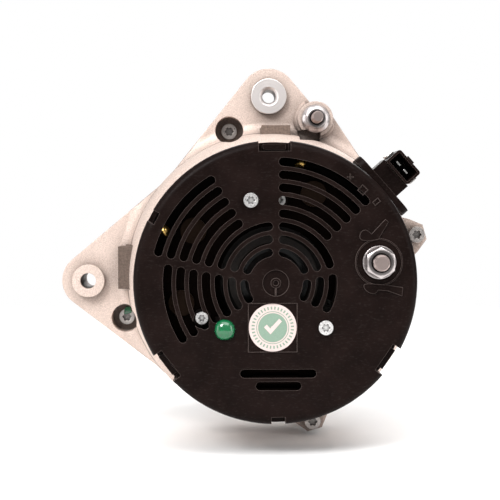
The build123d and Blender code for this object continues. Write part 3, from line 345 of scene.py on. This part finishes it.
def nut_dark_round_bore(name, centre, dark_radius):
    """Plated nut whose machined face is darker within a radius round its thread."""
    n = finish_metal(name, ZINC_COLOUR, 0.33, 0.8, 0.020, corner_shade=0.85, spread=0.25, under_cover_shade=0.9, reach=2.6)
    mapping = n.add("ShaderNodeMapping")
    mapping.inputs["Location"].default_value = -place(centre[0], 0, centre[1])
    mapping.inputs["Scale"].default_value = (1, 0, 1)
    n.link(n.where, mapping.inputs["Vector"])
    length = n.add("ShaderNodeVectorMath", operation="LENGTH")
    n.link(mapping.outputs["Vector"], length.inputs[0])
    bore_darkening = n.range(length.outputs["Value"], dark_radius * MM, (dark_radius + 0.6) * MM, 0.30, 1.0)
    base = n.shader.inputs["Base Color"].links[0].from_socket
    n.link(n.tint(base, bore_darkening), n.shader.inputs["Base Color"])
    return n.material


def paper(name):
    """Slightly fibrous paper."""
    n = Nodes(name)
    fibre = n.noise(0.5, 5, (1, 1, 3))
    n.link(n.blend(fibre, PAPER_DARK, PAPER_PALE), n.shader.inputs["Base Color"])
    n.shader.inputs["Roughness"].default_value = 0.5
    n.link(n.bump(fibre, 0.01), n.shader.inputs["Normal"])
    return n.material


def ink(name, colour):
    """Flat printing ink with faint paler specks."""
    n = Nodes(name)
    speck = n.noise(0.3, 4)
    n.link(n.blend(n.range(speck, 0.4, 0.7, 0, 0.5), colour, tuple(min(1, c * 1.35) for c in colour)),
           n.shader.inputs["Base Color"])
    n.shader.inputs["Roughness"].default_value = 0.45
    return n.material


def wet_paint(name, colour):
    """Thick glossy sealing paint."""
    n = Nodes(name)
    pool = n.noise(2.5, 3)
    n.link(n.blend(pool, tuple(c * 0.45 for c in colour), colour), n.shader.inputs["Base Color"])
    n.shader.inputs["Roughness"].default_value = 0.12
    n.shader.inputs["Coat Weight"].default_value = 0.6
    n.link(n.bump(pool, 0.12), n.shader.inputs["Normal"])
    return n.material


ZINC = finish_metal("zinc_plate", ZINC_COLOUR, 0.33, 0.8, 0.020, corner_shade=0.85, spread=0.25, under_cover_shade=0.9,
                    reach=2.6).material
MATERIALS = {
    "cast_aluminium": cast_aluminium("cast_aluminium"),
    "steel_laminations": striped("steel_laminations", (0.17, 0.155, 0.145), (0.03, 0.025, 0.022), 0.65, 0.48,
                                 0.7, 0.09),
    "rotor_steel": finish_metal("rotor_steel", (0.20, 0.185, 0.17), 0.45, 0.9, 0.05, 0.8).material,
    "ground_steel": finish_metal("ground_steel", (0.60, 0.59, 0.58), 0.22, 0.3, 0.008).material,
    # Painted shade: under the rear cover the bearing steel is darkened nearly to black.
    "bearing_steel": finish_metal("bearing_steel", (0.66, 0.66, 0.66), 0.14, 0.5, 0.003, under_cover_shade=0.08).material,
    "pressed_steel": finish_metal("pressed_steel", (0.46, 0.44, 0.42), 0.38, 1.2, 0.02).material,
    "slip_ring_copper": finish_metal("slip_ring_copper", (0.72, 0.33, 0.15), 0.25, 0.6, 0.01).material,
    "copper_wire": finish_metal("copper_wire", (0.60, 0.22, 0.075), 0.30, 1.5, 0.02).material,
    "black_plastic": moulded_plastic("black_plastic", (0.0056, 0.0030, 0.0025), 0.38),
    "dark_plastic": moulded_plastic("dark_plastic", (0.006, 0.0042, 0.0038), 0.6, 0.15, (0.02, 0.016, 0.014)),
    "insulation": paper("insulation_paper"),
    "zinc": ZINC,
    "bush_steel": turned_metal("bush_steel", (0.80, 0.745, 0.725), 0.42, node_axis("mounting_bush")[0]),
    "pulley_steel": finish_metal("pulley_steel", (0.055, 0.052, 0.052), 0.42, 0.8, 0.015, 0.65).material,
    # Painted shade: the rectifier plate and the diodes are coloured near black, standing for the shade under
    # the rear cover.
    "rectifier_aluminium": finish_metal("rectifier_plate_shaded", (0.012, 0.0075, 0.006), 0.6, 0.7, 0.02).material,
    "diode_metal": finish_metal("diode_metal", (0.050, 0.031, 0.022), 0.55, 0.8, 0.01).material,
    "carbon": moulded_plastic("carbon", (0.02, 0.019, 0.018), 0.6, 0.1, (0.05, 0.05, 0.05)),
    "spring_steel": finish_metal("spring_steel", (0.62, 0.60, 0.58), 0.30, 0.6, 0.006).material,
    "pin_metal": finish_metal("pin_metal", (0.80, 0.78, 0.75), 0.25, 0.6, 0.004).material,
    "seal_rubber": moulded_plastic("seal_rubber", (0.010, 0.009, 0.009), 0.65, 0.1, (0.02, 0.02, 0.02)),
    "label_paper": paper("label_paper"),
}
STUD_METAL = finish_metal("stud_zinc", (0.47, 0.38, 0.355), 0.34, 0.6, 0.03, corner_shade=0.7, under_cover_shade=0.9,
                          reach=1.5).material
INK_GREEN = ink("ink_green", (0.185, 0.268, 0.205))
PAINT_GREEN = wet_paint("paint_green", (0.004, 0.15, 0.050))
SOLDER = finish_metal("brass_solder", (0.85, 0.55, 0.17), 0.30, 0.8, 0.05, under_cover_shade=1.0).material

OILY_STEEL = finish_metal("oily_steel", (0.66, 0.61, 0.58), 0.32, 0.9, 0.09, corner_shade=0.72, spread=0.45,
                          reach=7.0).material
BRIGHT_SCREW = finish_metal("bright_screw", (0.95, 0.93, 0.92), 0.30, 0.6, 0.05, corner_shade=0.9, spread=0.10,
                            under_cover_shade=0.9, reach=1.6).material
PIECE_METAL = {"through_bolts": OILY_STEEL, "cover_screws": BRIGHT_SCREW, "rectifier_screws": BRIGHT_SCREW}

slot_of = {part["node"]: part["material_slot"] for part in frame["record"]["subparts"]}
for name, node in nodes.items():
    node.data.materials.clear()
    node.data.materials.append(PIECE_METAL.get(name, MATERIALS[slot_of[name]]))

# ---------------------------------------------------------------- rounded edges on the CAD parts

EDGE_WIDTH = {
    "rear_cover": 0.45, "connector_housing": 0.3, "rear_bracket": 0.9, "front_bracket": 0.6, "pulley": 0.25,
    "cover_screws": 0.3, "through_bolts": 0.35, "mounting_bush": 0.3, "b_plus_washer": 0.25,
    "connector_clip": 0.2,
    "claw_pole_front": 0.6, "claw_pole_rear": 0.6, "rotor_shaft": 0.3, "rectifier_screws": 0.25,
    "regulator_heat_sink": 0.2, "brush_holder": 0.3, "voltage_regulator": 0.4, "pulley_washer": 0.3,
}
for name, width in EDGE_WIDTH.items():
    node = nodes[name]
    weld = node.modifiers.new("weld", "WELD")
    weld.merge_threshold = 0.002 * MM
    flat = node.modifiers.new("flat", "DECIMATE")
    flat.decimate_type = "DISSOLVE"
    flat.angle_limit = math.radians(0.6)
    bevel = node.modifiers.new("edges", "BEVEL")
    bevel.width = width * MM
    bevel.segments = 2
    bevel.limit_method = "ANGLE"
    bevel.angle_limit = math.radians(38)
    bevel.use_clamp_overlap = True
    bevel.harden_normals = False

# ---------------------------------------------------------------- mesh helpers

def piece(name, points, faces, material, slot, body=HOUSING, smooth=True):
    """A finished mesh piece, points in metres, that rides on a body."""
    mesh = bpy.data.meshes.new(name)
    mesh.from_pydata([tuple(p) for p in points], [], faces)
    mesh.validate()
    mesh.materials.append(material)
    mesh.shade_smooth() if smooth else mesh.shade_flat()
    obj = bpy.data.objects.new(name, mesh)
    bpy.context.scene.collection.objects.link(obj)
    if smooth:
        mesh.set_sharp_from_angle(angle=math.radians(35))
    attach(obj, body)
    return obj


def skin(rings, loop=False):
    """Faces between rings of points of one length. The ends are capped unless the rings form a loop."""
    points = [p for ring in rings for p in ring]
    n = len(rings[0])
    faces = []
    pairs = [(i, i + 1) for i in range(len(rings) - 1)]
    if loop:
        pairs.append((len(rings) - 1, 0))
    for i, j in pairs:
        for k in range(n):
            m = (k + 1) % n
            faces.append((i * n + k, i * n + m, j * n + m, j * n + k))
    if not loop:
        faces.append(tuple(range(n - 1, -1, -1)))
        faces.append(tuple(len(points) - n + k for k in range(n)))
    return points, faces


def tube(path, radius, sides=6):
    """Points and faces of a round wire along a path of vectors."""
    rings = []
    up = Vector((0, 1, 0.3)).normalized()
    for i, p in enumerate(path):
        ahead = (path[min(i + 1, len(path) - 1)] - path[max(i - 1, 0)]).normalized()
        side = ahead.cross(up)
        side = side.normalized() if side.length > 1e-6 else Vector((1, 0, 0))
        up = side.cross(ahead).normalized()
        turns = [math.tau * k / sides for k in range(sides)]
        rings.append([p + (side * math.cos(t) + up * math.sin(t)) * radius for t in turns])
    return skin(rings)


def join(parts):
    """One set of points and faces from many."""
    points, faces = [], []
    for more_points, more_faces in parts:
        base = len(points)
        points += more_points
        faces += [tuple(base + i for i in face) for face in more_faces]
    return points, faces


def around(centre, b, radius, turn):
    """Point round an axis parallel to the shaft, in metres."""
    return place(centre[0] + radius * math.cos(turn), b, centre[1] + radius * math.sin(turn))


def threaded_rod(centre, b0, b1, radius, pitch, tip=0.8, steps=48):
    """Rod with a real helical thread, chamfered at its rear end b1."""
    rings = []
    depth = 0.495 * pitch
    count = int((b1 - b0) / (pitch / 8))
    for i in range(count + 1):
        b = b0 + (b1 - b0) * i / count
        ring = []
        for k in range(steps):
            turn = math.tau * k / steps
            phase = (b / pitch + k / steps) % 1
            r = radius - depth * (1 - abs(2 * phase - 1))
            r = min(r, radius - tip + (b1 - b)) if b > b1 - tip else r
            ring.append(around(centre, b, r, turn))
        rings.append(ring)
    return skin(rings)


def hex_radius(across_flats, turn, start):
    """Radius of a hexagon at an angle, where start is the direction of one corner."""
    wedge = (turn - start) % (math.pi / 3) - math.pi / 6
    return across_flats / 2 / math.cos(wedge)


NUT_FACE_SHARE = 0.94
NUT_CHAMFER = 30
BORE_CHAMFER = (0.6, 0.5)
FLANGE_FILLET = 0.9
FLANGE_EDGE = 0.5


def hex_nut(centre, b0, b1, across_flats, bore, start=0.0, flange=None, steps=96):
    """Nut with chamfered corners and a countersunk bore. A flange is given by its radius and thickness."""
    face_r = NUT_FACE_SHARE * across_flats / 2
    slope = math.tan(math.radians(NUT_CHAMFER))
    turns = [start + math.tau * k / steps for k in range(steps)]
    corner = [hex_radius(across_flats, t, start) for t in turns]
    rings = [[around(centre, b1 - BORE_CHAMFER[1], bore, t) for t in turns]]
    rings.append([around(centre, b1, bore + BORE_CHAMFER[0], t) for t in turns])
    rings.append([around(centre, b1, face_r, t) for t in turns])
    rings.append([around(centre, b1 - (r - face_r) * slope, r, t) for r, t in zip(corner, turns)])
    if flange:
        rim, thick = flange
        rings.append([around(centre, b0 + thick + FLANGE_FILLET, r, t) for r, t in zip(corner, turns)])
        rings.append([around(centre, b0 + thick, rim - FLANGE_EDGE, t) for t in turns])
        rings.append([around(centre, b0 + 0.5 * thick, rim, t) for t in turns])
        rings.append([around(centre, b0, rim, t) for t in turns])
    else:
        rings.append([around(centre, b0 + (r - face_r) * slope, r, t) for r, t in zip(corner, turns)])
        rings.append([around(centre, b0, face_r, t) for t in turns])
    rings.append([around(centre, b0, bore, t) for t in turns])
    return skin(rings, loop=True)


def blob(centre, b, radius, height, lumps=0.12, sides=28, layers=8):
    """Lumpy drop that stands on station b and bulges to the rear."""
    waves = [(draw.uniform(0, math.tau), draw.uniform(0.4, 1.0)) for _ in range(3)]
    last_rise = math.pi / 2 * 0.985
    rings = []
    for i in range(layers + 1):
        rise = last_rise * i / layers
        ring = []
        for k in range(sides):
            turn = math.tau * k / sides
            lump = sum(w * math.sin((j + 2) * turn + p) for j, (p, w) in enumerate(waves))
            r = radius * math.cos(rise) * (1 + lumps * lump * math.cos(rise))
            ring.append(around(centre, b + height * math.sin(rise), r, turn))
        rings.append(ring)
    return skin(rings)


def plate(outline, b0, b1):
    """Flat plate from an outline of (X, Z) points."""
    return skin([[place(x, b, z) for x, z in outline] for b in (b0, b1)])


# ---------------------------------------------------------------- studs and nuts

M8_R = 4.0
M8_PITCH = 1.25
M8_NUT_H = 6.5
M8_NUT_WIDTH = 13
M6_R = 3.0
M6_PITCH = 1.0
M6_NUT_WIDTH = 10
NUT_GAP = 0.06
b_plus, _, stud_end = node_axis("b_plus_stud")
washer_back = node_axis("b_plus_washer")[2]
ground, ground_front, ground_end = node_axis("ground_stud")

# First and last station of the B+ stud's hexagon head, and its width across flats
STUD_HEAD = (117.2, 121.0)
STUD_HEAD_WIDTH = 11

rod = threaded_rod(b_plus, STUD_HEAD[1], stud_end, M8_R, M8_PITCH)
head = hex_nut(b_plus, *STUD_HEAD, STUD_HEAD_WIDTH, 1.0)
terminal = piece("b_plus_threaded_stud", *join([rod, head]), STUD_METAL, "zinc")
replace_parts(terminal, "b_plus_stud")
nut = hex_nut(b_plus, washer_back, washer_back + M8_NUT_H, M8_NUT_WIDTH, M8_R + NUT_GAP, math.radians(-90))
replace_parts(piece("b_plus_hex_nut", *nut, nut_dark_round_bore("b_plus_nut_zinc", b_plus, 5.7), "zinc"), "b_plus_nut")
rod = threaded_rod(ground, ground_front, ground_end, M6_R, M6_PITCH, 0.6)
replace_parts(piece("ground_threaded_stud", *rod, STUD_METAL, "zinc"), "ground_stud")
_, nut_front, nut_back = node_axis("ground_nut")
nut = hex_nut(ground, nut_front, nut_back, M6_NUT_WIDTH, M6_R + NUT_GAP, math.radians(-80), flange=(7.3, 1.4))
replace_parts(piece("ground_flange_nut", *nut, nut_dark_round_bore("ground_nut_zinc", ground, 4.2), "zinc"), "ground_nut")

# ---------------------------------------------------------------- windings: bundles of enamelled wire

WIRE_R = 0.47
WIRE_ROWS = (-0.92, 0, 0.92)
WIRE_LEVELS = 4
LEVEL_PITCH = 0.98
LEVEL_INSET = 0.55
HUMP = 10.2
ARCH_SPAN = 30
ARCH_POINTS = 15
_, CORE_FRONT, CORE_BACK = node_axis("stator_core")

# Radius of each phase's arches and the angle of its first slot, then the radius and angle of its lead
PHASES = {"u": (62.9, 0), "v": (59.75, 10), "w": (56.6, 20)}
LEADS = {"u": (58.6, 155.3), "v": (60.0, 185.0), "w": (58.6, 77.6)}
LEAD_END = 130.0
LEAD_R = 1.1

# How far behind the core a lead leaves its bundle, is half-way out, and turns along the shaft
LEAD_FOOT = 8
LEAD_MIDDLE = 10
LEAD_BEND = 11.5
SOLDER_R = 3.0
SOLDER_HEIGHT = 4.4
SOLDER_OFFSET = 0.7


def arch(radius, start, core_end, outward):
    """One bundle of wires that leaves a slot, humps over to another slot of its phase and goes back in."""
    wires = []
    for row in WIRE_ROWS:
        for level in range(WIRE_LEVELS):
            r = radius + row + draw.uniform(-0.06, 0.06)
            top = HUMP - level * LEVEL_PITCH + draw.uniform(-0.1, 0.1)
            inset = 0.45 + level * LEVEL_INSET
            path = []
            for i in range(ARCH_POINTS):
                share = i / (ARCH_POINTS - 1)
                angle = start + inset + (ARCH_SPAN - 2 * inset) * share
                rise = min(1.0, 4.2 * min(share, 1 - share)) ** 0.6
                x, z = polar(r + 0.06 * math.sin(9 * share + level), angle)
                path.append(place(x, core_end + outward * (top * rise - 0.4), z))
            wires.append(tube(path, WIRE_R * MM))
    return wires


for phase, (radius, first) in PHASES.items():
    wires = []
    for start in range(first, first + 360, 2 * ARCH_SPAN):
        wires += arch(radius, start, CORE_FRONT, -1)
        wires += arch(radius, start + ARCH_SPAN, CORE_BACK, 1)
    lead_r, lead_angle = LEADS[phase]
    x, z = polar(lead_r, lead_angle)
    foot = polar(radius, lead_angle)
    bend = CORE_BACK + LEAD_BEND
    half_way = place((x + foot[0]) / 2, CORE_BACK + LEAD_MIDDLE, (z + foot[1]) / 2)
    path = [place(foot[0], CORE_BACK + LEAD_FOOT, foot[1]), half_way]
    path += [place(x, bend + (LEAD_END - bend) * i / 6, z) for i in range(7)]
    wires.append(tube(path, LEAD_R * MM, 10))
    coil = piece(f"winding_wires_{phase}", *join(wires), MATERIALS["copper_wire"], "copper_wire")
    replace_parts(coil, f"winding_phase_{phase}")
    drop_at = polar(lead_r + SOLDER_OFFSET, lead_angle)
    drop = blob(drop_at, LEAD_END - SOLDER_R, SOLDER_R, SOLDER_HEIGHT, 0.14)
    piece(f"solder_joint_{phase}", *drop, SOLDER, "copper_wire")

# ---------------------------------------------------------------- brush springs

COIL_R = 2.1
SPRING_WIRE_R = 0.3
SPRING_TURNS = 6.5
CLOSED_TURNS = 0.6
SPRING_STEPS = 180
SPRING_FOOT = -33.0
SPRING_TOP = -22.0
for letter in "ab":
    low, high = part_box(f"brush_{letter}")
    station = -(low.y + high.y) / 2 / MM
    path = []
    foot = SPRING_FOOT + SPRING_WIRE_R
    height = SPRING_TOP - SPRING_FOOT - 2 * SPRING_WIRE_R
    for i in range(SPRING_STEPS + 1):
        share = i / SPRING_STEPS
        turn = math.tau * SPRING_TURNS * share
        climb = (share * SPRING_TURNS - CLOSED_TURNS) / (SPRING_TURNS - 2 * CLOSED_TURNS)
        rise = min(1, max(0, climb))
        path.append(place(COIL_R * math.cos(turn), station + COIL_R * math.sin(turn), foot + height * rise))
    wire = tube(path, SPRING_WIRE_R * MM, 8)
    coil = piece(f"spring_coil_{letter}", *wire, MATERIALS["spring_steel"], "spring_steel")
    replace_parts(coil, f"brush_spring_{letter}")
    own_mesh(coil)

# ---------------------------------------------------------------- label, marks and paint

PRINT_THICK = 0.05
label, _, label_back = node_axis("inspection_label")
PRINT_B = (label_back, label_back + PRINT_THICK)


def annulus(centre, r0, r1, start, end, b0, b1, steps=64):
    """Flat ring or part of one, from a start to an end angle in degrees."""
    turns = [math.radians(start + (end - start) * k / steps) for k in range(steps + 1)]
    full = abs(end - start) >= 360
    if full:
        turns = turns[:-1]
    rings = []
    for r, b in ((r0, b0), (r1, b0), (r1, b1), (r0, b1)):
        rings.append([around(centre, b, r, t) for t in turns])
    if full:
        return skin(rings, loop=True)
    return skin([[ring[k] for ring in rings] for k in range(len(turns))])


# A plain inspection seal: a ring of short bars round a disc that carries a tick
prints = [annulus(label, 7.55, 7.9, 0, 360, *PRINT_B)]
for angle in range(0, 360, 10):
    prints.append(annulus(label, 8.7, 10.2, angle + 1.5, angle + 6.0, *PRINT_B, steps=4))
prints.append(annulus(label, 0.8, 7.0, 0, 360, *PRINT_B))
piece("label_print", *join(prints), INK_GREEN, "label_paper", smooth=False)
tick = [(-4.2, 0.2), (-2.8, 1.5), (-1.2, -0.4), (3.1, 4.3), (4.4, 3.0), (-1.1, -3.2)]
tick = plate([(label[0] + x, label[1] + z) for x, z in tick], PRINT_B[1], PRINT_B[1] + PRINT_THICK)
piece("label_tick", *tick, MATERIALS["label_paper"], "label_paper", smooth=False)

# Faint moulding marks on the cover: a plus, a square, an oblong, a bar over the hub's dial, and the frame
# round the label. The cover's last station is the top of its raised tick, 0.9 mm behind its flat face, so
# the marks and the paint start 0.3 mm clear of that face.
MARK_BASE = node_axis("rear_cover")[2] - 0.6
MARK_B = (MARK_BASE - 0.02, MARK_BASE + 0.25)


def rectangle(x, z, half_x, half_z):
    """Corners of an upright rectangle, in order."""
    return [(x + sx * half_x, z + sz * half_z) for sx, sz in ((-1, -1), (1, -1), (1, 1), (-1, 1))]


def frame_mark(x, z, half_x, half_z, line, turn=0.0):
    """Thin raised rectangle outline."""
    c, s = math.cos(math.radians(turn)), math.sin(math.radians(turn))
    bars = []
    for side in (-1, 1):
        for mid, half in (((0, side * half_z), (half_x + line / 2, line / 2)),
                          ((side * half_x, 0), (line / 2, half_z - line / 2))):
            corners = rectangle(*mid, *half)
            bars.append(plate([(x + c * u - s * v, z + s * u + c * v) for u, v in corners], *MARK_B))
    return bars


marks = frame_mark(*polar(61, 47), 1.7, 1.7, 0.4, 47) + frame_mark(*polar(62, 39), 1.6, 1.0, 0.35, 39)
marks += frame_mark(*label, 11.7, 11.7, 0.35)
x, z = polar(62, 55)
for half_x, half_z in ((1.6, 0.3), (0.3, 1.6)):
    marks.append(plate(rectangle(x, z, half_x, half_z), *MARK_B))
marks.append(plate([(-0.25, -2.2), (-0.25, -5.6), (0.25, -5.6), (0.25, -2.2)], *MARK_B))
piece("cover_moulding_marks", *join(marks), MATERIALS["black_plastic"], "black_plastic", smooth=False)

SEALED_SCREW = (-24.5, -22.4)
piece("screw_sealing_paint", *blob(SEALED_SCREW, MARK_BASE, 5.0, 3.5, 0.022), PAINT_GREEN, "zinc")
BOLT_PAINT_B = 68.15
x, z = polar(80.9, 194.5)
piece("bolt_paint_mark", *blob((x + 1.6, z + 1.4), BOLT_PAINT_B, 2.1, 0.35, 0.15), PAINT_GREEN, "zinc")

# ---------------------------------------------------------------- stage, light and camera

# The stage and its lamps are placed and sized in metres
FLOOR_SOLID_R = 0.34
FLOOR_EDGE_R = 0.95
FLOOR_SIDES = 96
MIDDLE = (0, -0.07, 0)


def stage_material():
    """Pale paper that fades out with distance into the white surroundings, so that no horizon shows."""
    n = Nodes("stage_paper")
    speck = n.noise(30, 2)
    n.link(n.blend(speck, (0.93, 0.925, 0.92), (0.96, 0.955, 0.95)), n.shader.inputs["Base Color"])
    n.shader.inputs["Roughness"].default_value = 0.9
    n.shader.inputs["Specular IOR Level"].default_value = 0.1
    length = n.add("ShaderNodeVectorMath", operation="LENGTH")
    n.link(n.where, length.inputs[0])
    fade = n.add("ShaderNodeMapRange", interpolation_type="SMOOTHSTEP")
    fade.inputs["From Min"].default_value = FLOOR_SOLID_R
    fade.inputs["From Max"].default_value = FLOOR_EDGE_R
    n.link(length.outputs["Value"], fade.inputs["Value"])
    mix = n.add("ShaderNodeMixShader")
    n.link(fade.outputs[0], mix.inputs[0])
    n.link(n.shader.outputs[0], mix.inputs[1])
    n.link(n.add("ShaderNodeBsdfTransparent").outputs[0], mix.inputs[2])
    n.link(mix.outputs[0], n.tree.nodes["Material Output"].inputs["Surface"])
    return n.material


FLOOR_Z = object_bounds()[0][2] - 0.001
floor_mesh = bpy.data.meshes.new("floor")
turns = [math.tau * k / FLOOR_SIDES for k in range(FLOOR_SIDES)]
rim = [(FLOOR_EDGE_R * math.cos(t), FLOOR_EDGE_R * math.sin(t), 0) for t in turns]
floor_mesh.from_pydata(rim, [], [tuple(range(FLOOR_SIDES))])
floor_mesh.materials.append(stage_material())
floor = bpy.data.objects.new("floor", floor_mesh)
floor.location = (MIDDLE[0], MIDDLE[1], FLOOR_Z)
bpy.context.scene.collection.objects.link(floor)


def aim(obj, target):
    """Turns a lamp or camera to face a point."""
    obj.rotation_euler = (Vector(target) - obj.location).to_track_quat("-Z", "Y").to_euler()


def softbox(name, where, size, power):
    """Rectangular lamp that faces the middle of the object."""
    light = bpy.data.lights.new(name, "AREA")
    light.shape = "RECTANGLE"
    light.size, light.size_y = size
    light.energy = power
    obj = bpy.data.objects.new(name, light)
    obj.location = where
    bpy.context.scene.collection.objects.link(obj)
    aim(obj, MIDDLE)


softbox("key", (-0.75, -1.25, 0.95), (0.55, 0.55), 19)
softbox("top", (0.1, -0.80, 1.2), (1.5, 0.9), 16)
softbox("fill", (1.3, -0.7, 0.15), (0.5, 1.3), 7)
softbox("left_fill", (-1.3, -0.5, 0.0), (0.5, 1.3), 5.5)
softbox("front_fill", (0.3, 1.3, 0.8), (1.2, 1.0), 12)


def studio_world():
    """White to the camera, and to everything else a soft sky that is brighter above than below."""
    world = bpy.data.worlds.new("studio")
    world.use_nodes = True
    sky = world.node_tree
    background = sky.nodes["Background"]
    background.inputs["Color"].default_value = (1, 1, 1, 1)
    direction = sky.nodes.new("ShaderNodeTexCoord")
    split = sky.nodes.new("ShaderNodeSeparateXYZ")
    sky.links.new(direction.outputs["Generated"], split.inputs[0])
    height = sky.nodes.new("ShaderNodeMapRange")
    for socket, number in enumerate((-0.5, 0.9, 0.10, 0.75), 1):
        height.inputs[socket].default_value = number
    sky.links.new(split.outputs[2], height.inputs[0])
    ray = sky.nodes.new("ShaderNodeLightPath")
    level = sky.nodes.new("ShaderNodeMix")
    level.inputs[3].default_value = 1.0
    sky.links.new(ray.outputs["Is Camera Ray"], level.inputs[0])
    sky.links.new(height.outputs[0], level.inputs[2])
    sky.links.new(level.outputs[0], background.inputs["Strength"])
    return world


bpy.context.scene.world = studio_world()
bpy.context.scene.view_settings.view_transform = "Standard"

CAMERA_AT = place(-24, 716, 34)
CAMERA_TARGET = place(-12.4, 140, 15.9)
camera_data = bpy.data.cameras.new("camera")
camera_data.sensor_width = 36
camera_data.lens = 86.7
camera_data.clip_start = 0.02
camera = bpy.data.objects.new("camera", camera_data)
camera.location = CAMERA_AT
bpy.context.scene.collection.objects.link(camera)
aim(camera, CAMERA_TARGET)
bpy.context.scene.camera = camera
